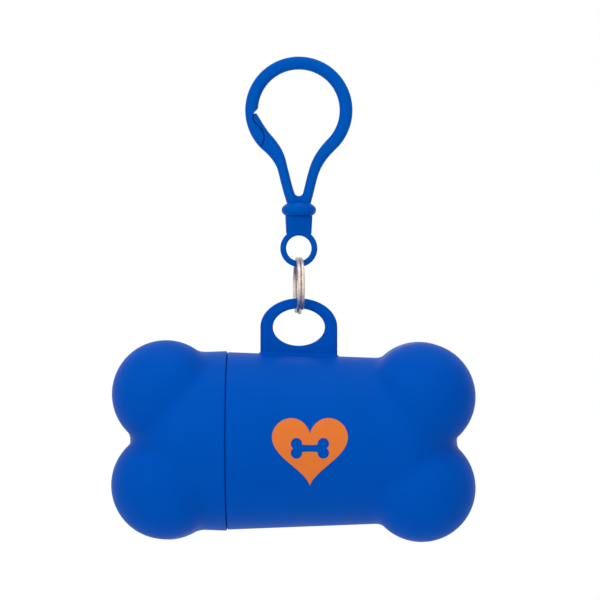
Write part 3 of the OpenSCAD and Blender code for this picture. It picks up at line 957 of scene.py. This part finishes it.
def leg_line(top_radius, foot, top_width, foot_width, steps=48):
    """Stops down a leg as x, z and width: an S bend drawn as one Bezier curve."""
    clip = settings().clip
    leave, lean = clip.leave, clip.lean
    start = np.array([math.cos(leave), -math.sin(leave)]) * top_radius
    foot = np.array(foot)
    span = np.linalg.norm(foot - start)
    first = start + BEND_TOP * span * np.array([-math.sin(leave), -math.cos(leave)])
    second = foot + BEND_FOOT * span * np.array([math.sin(lean), math.cos(lean)])
    stops = []
    for t in np.linspace(0, 1, steps + 1):
        s = 1 - t
        place = s ** 3 * start + 3 * s * s * t * first + 3 * s * t * t * second + t ** 3 * foot
        width = foot_width + (top_width - foot_width) * (1 - min(t / TAPER, 1))
        stops.append((place[0], place[1], width))
    return stops


def loop_line(start_width, end_width, start, end, late=1):
    """Stops round the loop between two angles in degrees, flush with its outside.

    The width runs from start to end as a power of the way along, so a higher one changes it later.
    """
    steps = int(abs(end - start) / 2) + 1
    stops = []
    for i in range(steps + 1):
        width = start_width + (end_width - start_width) * (i / steps) ** late
        stops.append(polar(LOOP_OUT_R - width / 2, start + (end - start) * i / steps) + (width,))
    return stops


def moulded_sweep(name, stops, round_end=False):
    """Sweeps the clip's rounded section along stops in its plane."""
    across, deep = squared_round(SECTION_SIDES, settings().clip.squareness)
    stops = np.array(stops)
    ahead = np.vstack([stops[1:], stops[-1:]]) - np.vstack([stops[:1], stops[:-1]])
    ahead = ahead[:, :2] / np.linalg.norm(ahead[:, :2], axis=1)[:, None]
    rings = []
    for (x, z, width), (dx, dz) in zip(stops, ahead):
        side = width / 2 * across
        rings.append(np.stack([x - side * dz, CLIP_THICK / 2 * deep, z + side * dx], 1))
    if round_end:
        rings = rounded_tip(rings, ahead[-1])
    points, faces = skin_rings(rings)
    return new_piece(name, points, faces, clip_plastic())


def rounded_tip(rings, ahead):
    """Draws the end in over a few more rings, so that it has a soft edge."""
    last = rings[-1]
    middle = last.mean(0)
    way = np.array([ahead[0], 0.0, ahead[1]])
    half = np.abs(last - middle).max()
    drawn = []
    for turn in arc(0, math.pi / 2, 4)[1:]:
        scale = 1 - TIP_EDGE * (1 - math.cos(turn)) / half
        drawn.append(middle + (last - middle) * scale + way * TIP_EDGE * math.sin(turn))
    return rings + drawn


def split_radius(degrees):
    """Radius of the S-shaped parting line at an angle round the loop."""
    half_wave = SPLIT_NOTCH_WAVE if degrees < SPLIT_CREST else SPLIT_NOSE - SPLIT_CREST
    wave = math.cos(math.pi * (degrees - SPLIT_CREST) / half_wave)
    return LOOP_OUT_R - SPLIT_DEPTH + SPLIT_WAVE * wave


def prism(name, outline, near, far, material):
    """Prism of an outline of x and z, between two depths."""
    points, faces = skin_rings([[(x, y, z) for x, z in outline] for y in (near, far)])
    return new_piece(name, points, faces, material)


def clip_prism(name, outline, half=CLIP_THICK):
    """Prism of an outline in the clip's plane, a half depth deep to each side."""
    return prism(name, outline, -half, half, clip_plastic())


def nose_prism(grow, half=CLIP_THICK):
    """Shape of the hook's nose, grown by a gap."""
    start, end = SPLIT_NOTCH - NOSE_MARGIN, SPLIT_HOOK_END - NOSE_MARGIN
    outline = []
    for i in range(LINE_STEPS + 1):
        angle = start + (SPLIT_NOSE - start) * i / LINE_STEPS
        outline.append(polar(split_radius(angle) - grow, angle))
    centre = polar(split_radius(SPLIT_NOSE) + NOSE_ROUND, SPLIT_NOSE)
    outline += polar_arc(NOSE_ROUND + grow, SPLIT_NOSE - 180 - NOSE_TUCK, -90, ROUND_STEPS, centre)
    outline += polar_arc(CLEAR_R, end, start - end, CLEAR_STEPS)
    return clip_prism("nose_shape", outline, half)


def pocket_prism():
    """Shape cleared from the loop for the gate, with a slanted face above the gate's tip."""
    notch = polar(split_radius(SPLIT_NOTCH), SPLIT_NOTCH)
    slant = polar(SLANT_REACH, SPLIT_SLANT, notch)
    outline = [notch, slant, (0.0, slant[1]), (0.0, 0.0)]
    outline += polar_arc(CLEAR_R, SPLIT_POCKET_END, SPLIT_NOTCH - SPLIT_POCKET_END, CLEAR_STEPS)
    return apply_boolean(clip_prism("pocket", outline), nose_prism(0.0), "DIFFERENCE")


def turned(name, profile, material, sides=64):
    """Turns a profile of radius and height round the upright axis; it starts and ends on it."""
    rings = [level_ring(radius, height, sides) for radius, height in profile[1:-1]]
    tips = [np.array([0.0, 0.0, profile[i][1]]) for i in (0, -1)]
    points, faces = skin_rings(rings, *tips)
    return new_piece(name, points, faces, material)


def collar_piece():
    """Collar with a rounded rim that runs out into the legs above it."""
    clip = settings().clip
    middle = COLLAR_LOW + clip.collar_height / 2
    reach = clip.collar_height / 2 + RIM_FLARE
    profile = [(0.0, COLLAR_LOW)]
    for share in np.linspace((COLLAR_LOW - middle) / reach, 1, RIM_RINGS):
        bulge = (1 - abs(share) ** RIM_POINT) ** RIM_RUN_OUT
        profile.append((clip.waist + (COLLAR_R - clip.waist) * bulge, middle + reach * share))
    profile.append((0.0, middle + reach))
    return turned("collar", profile, clip_plastic())


def crotch_piece():
    """Web that closes the crotch between the two legs in a round."""
    clip = settings().clip
    foot_x, foot_z = clip_foot()
    radius = clip.crotch_radius
    top = COLLAR_LOW + clip.collar_height + CROTCH_RISE + radius
    outline = [(-foot_x, foot_z), (foot_x, foot_z), (foot_x, top)]
    outline += polar_arc(radius, 0, -180, ROUND_STEPS, (0.0, top))
    outline += [(-foot_x, top)]
    return clip_prism("crotch", outline, CLIP_THICK / 2 - CROTCH_INSET)


def gate_bar(name):
    """Springy leg and gate as one bar, before the hook's nose is cleared from it."""
    clip = settings().clip
    foot = clip_foot()
    knuckle = joint_place("gate_flex")
    width = clip.wire + clip.swell
    leg = leg_line(LOOP_OUT_R - width / 2, (-knuckle.x, knuckle.z), width, clip.leg)[::-1]
    leg = [(foot[0], foot[1], clip.leg)] + leg
    leg = [(-x, z, w) for x, z, w in leg]
    loop = loop_line(width, clip.tip, 180 + math.degrees(clip.leave), SPLIT_TIP, GATE_LATE)
    return moulded_sweep(name, leg + loop[1:], round_end=True)


def nose_tongue():
    """Thin tongue along the hook's nose that the gate closes over."""
    clip = settings().clip
    return apply_boolean(gate_bar("tongue"), nose_prism(clip.gap + clip.tongue, TONGUE_HALF), "INTERSECT")


def build_clip_hook():
    """Rigid part of the clip: loop, nose, right leg and collar."""
    clip = settings().clip
    foot = clip_foot()
    leg = leg_line(LOOP_OUT_R - clip.wire / 2, foot, clip.wire, clip.leg)[::-1]
    loop = loop_line(clip.wire, clip.wire, -math.degrees(clip.leave), SPLIT_HOOK_END)
    hook = moulded_sweep("clip_hook", leg + loop[1:])
    apply_boolean(hook, pocket_prism(), "DIFFERENCE")
    apply_boolean(hook, nose_tongue(), "UNION")
    apply_boolean(hook, collar_piece(), "UNION")
    apply_boolean(hook, crotch_piece(), "UNION")
    shade(hook, CLIP_CREASE)
    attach(hook, "clip")
    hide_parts("hook_body")


def build_clip_gate():
    """Springy leg with the gate on its end, rising from the collar."""
    clip = settings().clip
    gate = gate_bar("clip_gate")
    apply_boolean(gate, nose_prism(clip.gap), "DIFFERENCE")
    groove = nose_prism(clip.gap + clip.tongue + TONGUE_FIT, TONGUE_HALF + TONGUE_FIT)
    apply_boolean(gate, groove, "DIFFERENCE")
    shade(gate, CLIP_CREASE)
    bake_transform(gate)
    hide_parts("gate_arm")


def eye_torus(sides=96, wire_sides=28):
    """Round wire of the eye, as rings along its circle."""
    clip = settings().clip
    middle = clip.eye_radius + clip.eye_wire / 2
    centre_z = EYE_BOTTOM + clip.eye_radius + clip.eye_wire
    section = full_turn(wire_sides)
    rings = []
    for i in range(sides):
        turn = 2 * math.pi * i / sides
        radius = middle + clip.eye_wire / 2 * np.cos(section)
        rings.append(np.stack([radius * math.cos(turn), clip.eye_wire / 2 * np.sin(section),
                               centre_z + radius * math.sin(turn)], 1))
    faces = grid_faces(sides, wire_sides, close_rows=True)
    return new_piece("eye", np.concatenate(rings), faces, clip_plastic())


def neck_stops(low, top):
    """Heights up the swivel's neck, each with how far its edge is drawn in there."""
    foot, edge = low + BLOCK_EDGE, top - BLOCK_EDGE
    stops = [(low, BLOCK_DRAW)]
    stops += [(foot + (edge - low - BLOCK_EDGE) * share, 0.0) for share in BLOCK_RINGS]
    stops += [(edge + BLOCK_EDGE * math.sin(bend), BLOCK_EDGE * (1 - math.cos(bend)))
              for bend in arc(0, math.pi / 2, 4)]
    return stops


def neck_block():
    """Neck of the swivel: a flat-fronted block, softly rounded and tapered to the eye."""
    clip = settings().clip
    top = COLLAR_LOW - SWIVEL_GAP
    low = EYE_BOTTOM + clip.eye_wire + 2 * clip.eye_radius + clip.eye_wire / 4
    sides = 64
    rings = []
    for height, drawn in neck_stops(low, top):
        rise = min(max((height - low) / (top - low), 0), 1)
        half_x = clip.neck_radius - BLOCK_TAPER * (1 - rise) - drawn
        half_y = BLOCK_THIN + BLOCK_SWELL * rise * rise * (3 - 2 * rise) - drawn
        across, deep = squared_round(sides, BLOCK_SQUARE - BLOCK_ROUNDING * rise ** 2)
        rings.append(np.stack([half_x * across, half_y * deep, np.full(sides, height)], 1))
    points, faces = skin_rings(rings)
    return new_piece("swivel_neck", points, faces, clip_plastic())


def swivel_stem():
    """Stem of the swivel with its snap head, hidden in the collar."""
    clip = settings().clip
    low = COLLAR_LOW - STEM_LOW
    head = COLLAR_LOW + clip.collar_height - HEAD_DROP
    profile = [(0.0, low), (clip.stem_radius, low), (clip.stem_radius, head - HEAD_STEP),
               (clip.stem_head, head), (clip.stem_head, head + HEAD_BAND),
               (clip.stem_radius, head + HEAD_HEIGHT), (0.0, head + HEAD_HEIGHT)]
    return turned("stem", profile, clip_plastic(), sides=40)


def build_swivel():
    """Swivel under the collar, with the eye that the split ring hangs in."""
    block = neck_block()
    apply_boolean(block, eye_torus(), "UNION")
    apply_boolean(block, swivel_stem(), "UNION")
    block.name = "swivel"
    block.data.transform(Matrix.Rotation(settings().ring.yaw, 4, "Z"))
    shade(block, CLIP_CREASE)
    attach(block, "swivel")
    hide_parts("swivel_eye")


# ---------------------------------------------------------------- split ring

# half the gap between the ring's two turns, steps along and points round its wire, and scale of its cut ends
TURN_GAP = 0.01 * MM
RING_STEPS = 360
RING_SIDES = 20
END_SCALE = 0.85


def ring_line(turn):
    """Middle of the ring's wire at an angle of winding: its side step, and its way at unit radius."""
    ring = settings().ring
    angle = ring.crossing + turn
    step = min(max((turn - 2 * math.pi) / ring.ramp, -1), 1)
    side = -(ring.wire / 2 + TURN_GAP) * step * (3 - step * step) / 2
    return side, -math.sin(angle), -math.cos(angle)


def broken_end(ring):
    """Draws a wire's last ring in, so that the cut end has a broken edge."""
    middle = ring.mean(0)
    return middle + (ring - middle) * END_SCALE


def build_split_ring():
    """Split ring: two turns of round wire side by side, crossing once."""
    ring = settings().ring
    middle = RING_OUT_R - ring.wire / 2
    section = full_turn(RING_SIDES)
    rings = []
    for turn in arc(ring.cut, 4 * math.pi - ring.cut, RING_STEPS):
        side, y, z = ring_line(turn)
        radius = middle + ring.wire / 2 * np.sin(section)
        rings.append(np.stack([side + ring.wire / 2 * np.cos(section), radius * y, radius * z], 1))
    rings[0] = broken_end(rings[0])
    rings[-1] = broken_end(rings[-1])
    points, faces = skin_rings(rings)
    place = Matrix.Translation((0, 0, RING_Z)) @ Matrix.Rotation(ring.yaw, 4, "Z")
    wire = new_piece("split_ring_wire", moved(points, place), faces, ring_steel())
    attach(wire, "ring")
    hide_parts("split_ring")


# ---------------------------------------------------------------- roll of bags

# crease angle of the roll, in degrees
ROLL_CREASE = 30
# layers of film on the roll's ends: their number, the share of each that stands up, the slope of its edge,
# how far most of them and every third one stand back at most, and the turn from one to the next
LAYERS = 22
LAYER_SHARE = 0.6
LAYER_SLOPE = 0.05 * MM
LAYER_BACK = 0.12 * MM
THIRD_BACK = 0.2 * MM
LAYER_TURN = 2.4
# gap round the core, rounding of the roll's long edges, and depth of the film under the loose turn
CORE_GAP = 0.02 * MM
ROLL_EDGE = 0.25 * MM
LOOSE_DEPTH = 0.2 * MM
# loose turn: its start and sweep, its thickness at the start as a share, how far it sinks into the roll,
# stays below the solid and stays back from the roll's ends
LOOSE_START = math.radians(200)
LOOSE_SWEEP = math.radians(300)
LOOSE_THIN = 0.35
LOOSE_SINK = 0.3 * MM
LOOSE_ROOM = 0.01 * MM
LOOSE_BACK = 0.45 * MM
# card core: its wall, its edge, and the pitch, depth and width (as a share of a turn) of its spiral seam
CORE_WALL = 0.9 * MM
CORE_EDGE = 0.1 * MM
SEAM_PITCH = 24 * MM
SEAM_DIP = 0.06 * MM
SEAM_SHARE = 0.035


def roll_place():
    """Turns a mesh about the upright axis into one about the roll's axis."""
    return Matrix.Translation((0, 0, ROLL_Z)) @ Matrix.Rotation(math.pi / 2, 4, "Y")


def wound_end(inner, outer, half):
    """Profile of one end face of the roll, where the edges of the film stand at uneven heights."""
    profile = []
    for i in range(LAYERS):
        low = inner + (outer - inner) * i / LAYERS
        high = inner + (outer - inner) * (i + LAYER_SHARE) / LAYERS
        back = LAYER_BACK if i % 3 else THIRD_BACK
        height = half - back * (0.5 + 0.5 * math.cos(i * LAYER_TURN))
        profile += [(low, height - LAYER_SLOPE), (high, height)]
    return profile


def loose_end(wall, outer, half):
    """The outermost turn of film, which ends in a step along the roll."""
    steps = 60
    low, edge = wall - LOOSE_SINK, half - LOOSE_BACK
    rings = []
    for i in range(steps + 1):
        share = i / steps
        angle = LOOSE_START + LOOSE_SWEEP * share
        top = wall + (outer - wall - LOOSE_ROOM) * (LOOSE_THIN + (1 - LOOSE_THIN) * share)
        corners = ((low, -edge), (low, edge), (top, edge), (top, -edge))
        rings.append([(r * math.cos(angle), r * math.sin(angle), h) for r, h in corners])
    points, faces = skin_rings(rings)
    return new_piece("loose_end", moved(points, roll_place()), faces, roll_film())


def build_bag_roll():
    """Wound film with uneven edges and the loose end of the outermost bag."""
    inner, outer = CORE_HIGH.z - ROLL_Z + CORE_GAP, ROLL_HIGH.z - ROLL_Z
    half = (ROLL_HIGH.x - ROLL_LOW.x) / 2
    wall = outer - LOOSE_DEPTH
    profile = wound_end(inner, outer - ROLL_EDGE, half) + [(wall, half - LOOSE_DEPTH)]
    profile += [(radius, -height) for radius, height in reversed(profile)]
    sides = 96
    points = np.concatenate([level_ring(radius, height, sides) for radius, height in profile])
    faces = grid_faces(len(profile), sides, close_rows=True)
    roll = new_piece("bag_film_roll", moved(points, roll_place()), faces, roll_film())
    apply_boolean(roll, loose_end(wall, outer, half), "UNION")
    shade(roll, ROLL_CREASE)
    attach(roll, "roll")
    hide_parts("bag_roll")


def core_profile(inner, outer, half, rows=60):
    """Profile of the card tube, down its outside and up its inside."""
    heights = [half - 2 * half * i / rows for i in range(1, rows)]
    profile = [(inner + CORE_EDGE, half), (outer - CORE_EDGE, half)]
    profile += [(outer, height) for height in heights]
    profile += [(outer - CORE_EDGE, -half), (inner + CORE_EDGE, -half)]
    return profile + [(inner, height) for height in reversed(heights)]


def seam_dip(angle, height):
    """Depth of the card's spiral seam at an angle and a height."""
    phase = (angle / (2 * math.pi) + height / SEAM_PITCH) % 1.0
    return SEAM_DIP if phase < SEAM_SHARE else 0.0


def build_roll_core():
    """Card core with the step of its spiral seam along it."""
    half = (CORE_HIGH.x - CORE_LOW.x) / 2
    outer = CORE_HIGH.z - ROLL_Z
    inner = outer - CORE_WALL
    sides = 72
    profile = core_profile(inner, outer, half)
    points = []
    for radius, height in profile:
        inwards = -1 if radius > inner + CORE_EDGE else 1
        for j in range(sides):
            angle = 2 * math.pi * j / sides
            shown = radius + inwards * seam_dip(angle, height)
            points.append((shown * math.cos(angle), shown * math.sin(angle), height))
    faces = grid_faces(len(profile), sides, close_rows=True)
    core = new_piece("card_core", moved(points, roll_place()), faces, roll_core_card(), ROLL_CREASE)
    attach(core, "roll")
    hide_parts("roll_core")


# ---------------------------------------------------------------- print

# place of the print, the heart's half width, and that width and its rise in units of the heart's curve
PRINT_X = 2.4 * MM
PRINT_Z = -75.3 * MM
HEART_SIZE = 8.2 * MM
HEART_UNITS = 16
HEART_RISE = 2.5
# bone inside it: height over the print's place, half length, half width of the shaft, the share of that in
# its middle and what its ends have more, radius of the knobs, how far they stand to each side, and steps
BONE_RISE = 0.9 * MM
BONE_HALF = 2.9 * MM
BONE_SHAFT = 0.85 * MM
SHAFT_WAIST = 0.85
SHAFT_FLARE = 0.35
BONE_KNOB = 1.25 * MM
BONE_SPLAY = 1.0 * MM
SHAFT_STEPS = 8
KNOB_STEPS = 28
# ink: half its thickness, half sizes and cells of the patch it is cut from, and depths between which its
# cutters lie
INK_LIFT = 0.05 * MM
PATCH_HALF_X = 11 * MM
PATCH_HALF_Z = 10 * MM
PATCH_COLUMNS = 48
PATCH_ROWS = 40
CUTTER_NEAR = -24 * MM
CUTTER_FAR = -12 * MM


def heart_outline(steps=72):
    """Outline of a plump heart round the print's place, by the common heart curve."""
    points = []
    for i in range(steps):
        t = 2 * math.pi * i / steps
        x = HEART_UNITS * math.sin(t) ** 3
        z = 13 * math.cos(t) - 5 * math.cos(2 * t) - 2 * math.cos(3 * t) - math.cos(4 * t)
        points.append((PRINT_X + x / HEART_UNITS * HEART_SIZE,
                       PRINT_Z + (z + HEART_RISE) / HEART_UNITS * HEART_SIZE))
    return points[::-1]


def knob_outline(end, side):
    """Round knob of the bone in the print."""
    centre = (PRINT_X + end * BONE_HALF, PRINT_Z + BONE_RISE + side * BONE_SPLAY)
    return polar_arc(BONE_KNOB, 0, 360, KNOB_STEPS, centre)[:-1]


def shaft_outline():
    """Waisted shaft of the bone in the print."""
    points = []
    for side in (-1, 1):
        for i in range(SHAFT_STEPS + 1):
            t = side * (2 * i / SHAFT_STEPS - 1)
            half = BONE_SHAFT * (SHAFT_WAIST + SHAFT_FLARE * t * t)
            points.append((PRINT_X + t * BONE_HALF, PRINT_Z + BONE_RISE + side * half))
    return points


def print_prism(name, outline):
    """Prism through the front of the case."""
    return prism(name, outline, CUTTER_NEAR, CUTTER_FAR, heart_ink())


def patch_points(lift):
    """Grid of points on the front of the tube, lifted off it."""
    bone = body_bone()
    points = []
    for i in range(PATCH_ROWS + 1):
        z = PRINT_Z - PATCH_HALF_Z + 2 * PATCH_HALF_Z * i / PATCH_ROWS
        for j in range(PATCH_COLUMNS + 1):
            x = PRINT_X - PATCH_HALF_X + 2 * PATCH_HALF_X * j / PATCH_COLUMNS
            radius = bone.tube_radius(x - SEAM_X) + lift
            points.append((x, -math.sqrt(radius ** 2 - (z - AXIS_Z) ** 2), z))
    return points


def patch_faces():
    """Faces of a closed sheet between two grids of points."""
    width, total = PATCH_COLUMNS + 1, (PATCH_COLUMNS + 1) * (PATCH_ROWS + 1)
    faces = []
    for i in range(PATCH_ROWS):
        for j in range(PATCH_COLUMNS):
            quad = (i * width + j, i * width + j + 1, (i + 1) * width + j + 1, (i + 1) * width + j)
            faces.append(quad)
            faces.append(tuple(total + k for k in reversed(quad)))
    rim = list(range(width)) + [i * width + PATCH_COLUMNS for i in range(1, PATCH_ROWS + 1)]
    rim += [PATCH_ROWS * width + j for j in range(PATCH_COLUMNS - 1, -1, -1)]
    rim += [i * width for i in range(PATCH_ROWS - 1, 0, -1)]
    for i, a in enumerate(rim):
        b = rim[(i + 1) % len(rim)]
        faces.append((a, total + a, total + b, b))
    return faces


def ink_patch():
    """Thin curved patch on the front of the tube."""
    points = patch_points(-INK_LIFT) + patch_points(INK_LIFT)
    return new_piece("printed_heart", points, patch_faces(), heart_ink())


def build_print():
    """Plain printed heart with a bone left out of it, on the front of the case."""
    heart = ink_patch()
    apply_boolean(heart, print_prism("heart_shape", heart_outline()), "INTERSECT")
    for end in (-1, 1):
        for side in (-1, 1):
            knob = print_prism("knob_shape", knob_outline(end, side))
            apply_boolean(heart, knob, "DIFFERENCE")
    apply_boolean(heart, print_prism("shaft_shape", shaft_outline()), "DIFFERENCE")
    shade(heart)
    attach(heart, "case")


# ---------------------------------------------------------------- stage

# middle and width of the view in the object's plane, the camera's distance from it in metres, the width of
# its sensor in millimetres, and how far it sees
VIEW_CENTRE = Vector((0.26 * MM, 0.0, -42.4 * MM))
VIEW_WIDTH = 134.1 * MM
CAMERA_AWAY = 0.55
SENSOR_WIDTH = 36.0
VIEW_END = 20.0
# height of the floor, and its profile as radius and rise
FLOOR_Z = -0.2
FLOOR_PROFILE = ((0.02, 0.0), (0.2, 0.0), (0.4, 0.0), (0.44, 0.004), (0.46, 0.016))
# colour and strength of the world's light, plain white, and the lamps' distance from the view's middle
WORLD_TINT = (0.95, 0.97, 1.0, 1.0)
WORLD_STRENGTH = 0.56
WHITE = (1.0, 1.0, 1.0, 1.0)
LAMP_AWAY = 0.9


def build_floor():
    """Round paper floor under the hanging object, with a soft turned-up edge."""
    sides = 96
    rings = [level_ring(radius, FLOOR_Z + rise, sides) for radius, rise in FLOOR_PROFILE]
    points = np.vstack(rings + [np.array([[0.0, 0.0, FLOOR_Z]])])
    faces = grid_faces(len(rings), sides)
    faces += [(j, (j + 1) % sides, len(points) - 1) for j in range(sides)]
    floor = new_piece("stage_floor", points, faces, stage_paper(settings().colours.stage))


def build_world():
    """Soft even light, and plain white where the eye or a reflection looks past everything."""
    world = bpy.data.worlds.new("studio")
    world.use_nodes = True
    tree = world.node_tree
    tree.nodes.clear()
    output = tree.nodes.new("ShaderNodeOutputWorld")
    light = tree.nodes.new("ShaderNodeBackground")
    light.inputs["Color"].default_value = WORLD_TINT
    light.inputs["Strength"].default_value = WORLD_STRENGTH
    white = tree.nodes.new("ShaderNodeBackground")
    white.inputs["Color"].default_value = WHITE
    path = tree.nodes.new("ShaderNodeLightPath")
    seen = path.outputs["Is Camera Ray"]
    for ray in ("Is Glossy Ray", "Is Transmission Ray"):
        either = tree.nodes.new("ShaderNodeMath")
        either.operation = "MAXIMUM"
        tree.links.new(seen, either.inputs[0])
        tree.links.new(path.outputs[ray], either.inputs[1])
        seen = either.outputs["Value"]
    mix = tree.nodes.new("ShaderNodeMixShader")
    tree.links.new(seen, mix.inputs["Fac"])
    tree.links.new(light.outputs["Background"], mix.inputs[1])
    tree.links.new(white.outputs["Background"], mix.inputs[2])
    tree.links.new(mix.outputs["Shader"], output.inputs["Surface"])
    bpy.context.scene.world = world


def add_softbox(name, azimuth, elevation, width, height, power):
    """A rectangular lamp at an azimuth and elevation in degrees, turned to the object.

    Its width and height are in metres and its power is in watts.
    """
    lamp = bpy.data.lights.new(name, "AREA")
    lamp.shape = "RECTANGLE"
    lamp.size = width
    lamp.size_y = height
    lamp.energy = power
    thing = bpy.data.objects.new(name, lamp)
    side, up = math.radians(azimuth), math.radians(elevation)
    way = Vector((math.sin(side) * math.cos(up), -math.cos(side) * math.cos(up), math.sin(up)))
    thing.location = VIEW_CENTRE + way * LAMP_AWAY
    thing.rotation_euler = way.to_track_quat("Z", "Y").to_euler()
    bpy.context.scene.collection.objects.link(thing)


def build_lights():
    """A broad softbox overhead, a tall strip at each side and a faint fill in front."""
    add_softbox("top_softbox", azimuth=0, elevation=80, width=0.9, height=0.9, power=4.2)
    add_softbox("left_strip", azimuth=-36, elevation=5, width=0.25, height=1.0, power=2.1)
    add_softbox("right_strip", azimuth=36, elevation=5, width=0.1, height=1.0, power=0.25)
    add_softbox("front_fill", azimuth=-10, elevation=20, width=0.8, height=0.8, power=1.0)


def build_camera():
    """Camera straight in front, far enough for a nearly flat view."""
    data = bpy.data.cameras.new("camera")
    data.sensor_width = SENSOR_WIDTH
    data.lens = SENSOR_WIDTH * CAMERA_AWAY / VIEW_WIDTH
    data.clip_end = VIEW_END
    data.dof.use_dof = False
    camera = bpy.data.objects.new("camera", data)
    camera.location = VIEW_CENTRE + Vector((0, -CAMERA_AWAY, 0))
    camera.rotation_euler = (math.pi / 2, 0, 0)
    bpy.context.scene.collection.objects.link(camera)
    bpy.context.scene.camera = camera
    bpy.context.scene.view_settings.view_transform = "Standard"


def build_stage():
    """Floor, light and camera."""
    build_floor()
    build_world()
    build_lights()
    build_camera()


# ---------------------------------------------------------------- operators and panel

class DISPENSER_OT_case(bpy.types.Operator):
    """Build the body of the case with its slot, neck and tab"""
    bl_idname = "dispenser.case"
    bl_label = "Body"
    bl_options = {"REGISTER", "UNDO"}

    def execute(self, context):
        build_body_case()
        return {"FINISHED"}


class DISPENSER_OT_cap(bpy.types.Operator):
    """Build the end cap of the case"""
    bl_idname = "dispenser.cap"
    bl_label = "End cap"
    bl_options = {"REGISTER", "UNDO"}

    def execute(self, context):
        build_cap()
        return {"FINISHED"}


class DISPENSER_OT_clip(bpy.types.Operator):
    """Build the clip with its springy gate"""
    bl_idname = "dispenser.clip"
    bl_label = "Clip and gate"
    bl_options = {"REGISTER", "UNDO"}

    def execute(self, context):
        build_clip_hook()
        build_clip_gate()
        return {"FINISHED"}


class DISPENSER_OT_swivel(bpy.types.Operator):
    """Build the swivel and the split ring that hangs in it"""
    bl_idname = "dispenser.swivel"
    bl_label = "Swivel and ring"
    bl_options = {"REGISTER", "UNDO"}

    def execute(self, context):
        build_swivel()
        build_split_ring()
        return {"FINISHED"}


class DISPENSER_OT_roll(bpy.types.Operator):
    """Build the roll of bags on its card core"""
    bl_idname = "dispenser.roll"
    bl_label = "Roll of bags"
    bl_options = {"REGISTER", "UNDO"}

    def execute(self, context):
        build_roll_core()
        build_bag_roll()
        return {"FINISHED"}


class DISPENSER_OT_print(bpy.types.Operator):
    """Build the printed heart on the front of the case"""
    bl_idname = "dispenser.print"
    bl_label = "Print"
    bl_options = {"REGISTER", "UNDO"}

    def execute(self, context):
        build_print()
        return {"FINISHED"}


class DISPENSER_OT_stage(bpy.types.Operator):
    """Build the floor, the lights and the camera"""
    bl_idname = "dispenser.stage"
    bl_label = "Stage"
    bl_options = {"REGISTER", "UNDO"}

    def execute(self, context):
        build_stage()
        return {"FINISHED"}


OPERATORS = (DISPENSER_OT_case, DISPENSER_OT_cap, DISPENSER_OT_clip, DISPENSER_OT_swivel,
             DISPENSER_OT_roll, DISPENSER_OT_print, DISPENSER_OT_stage)
GROUPS = (CaseSizes, TabSizes, ClipSizes, RingSizes, FinishColours, DispenserSettings)


class DISPENSER_PT_panel(bpy.types.Panel):
    """Sidebar panel with the dispenser's sizes and build buttons"""
    bl_idname = "DISPENSER_PT_panel"
    bl_label = "Bone bag dispenser"
    bl_space_type = "VIEW_3D"
    bl_region_type = "UI"
    bl_category = "Dispenser"

    def draw(self, context):
        """Lists the sizes and colours, then a button for each operator."""
        layout = self.layout
        layout.use_property_split = True
        dispenser = context.scene.bone_dispenser
        for part in ("case", "tab", "clip", "ring", "colours"):
            box = layout.box()
            box.label(text=part.capitalize())
            group = getattr(dispenser, part)
            for name in group.bl_rna.properties.keys():
                if name not in {"rna_type", "name"}:
                    box.prop(group, name)
        for operator in OPERATORS:
            layout.operator(operator.bl_idname)


def register():
    """Registers the settings, the operators and the panel."""
    for group in GROUPS:
        bpy.utils.register_class(group)
    for operator in OPERATORS:
        bpy.utils.register_class(operator)
    bpy.utils.register_class(DISPENSER_PT_panel)
    bpy.types.Scene.bone_dispenser = PointerProperty(type=DispenserSettings)


def unregister():
    """Takes away what register added."""
    del bpy.types.Scene.bone_dispenser
    bpy.utils.unregister_class(DISPENSER_PT_panel)
    for operator in reversed(OPERATORS):
        bpy.utils.unregister_class(operator)
    for group in reversed(GROUPS):
        bpy.utils.unregister_class(group)


def main():
    """Registers the add-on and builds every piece."""
    register()
    bpy.ops.dispenser.case()
    bpy.ops.dispenser.cap()
    bpy.ops.dispenser.clip()
    bpy.ops.dispenser.swivel()
    bpy.ops.dispenser.roll()
    bpy.ops.dispenser.print()
    bpy.ops.dispenser.stage()


if __name__ == "__main__":
    main()
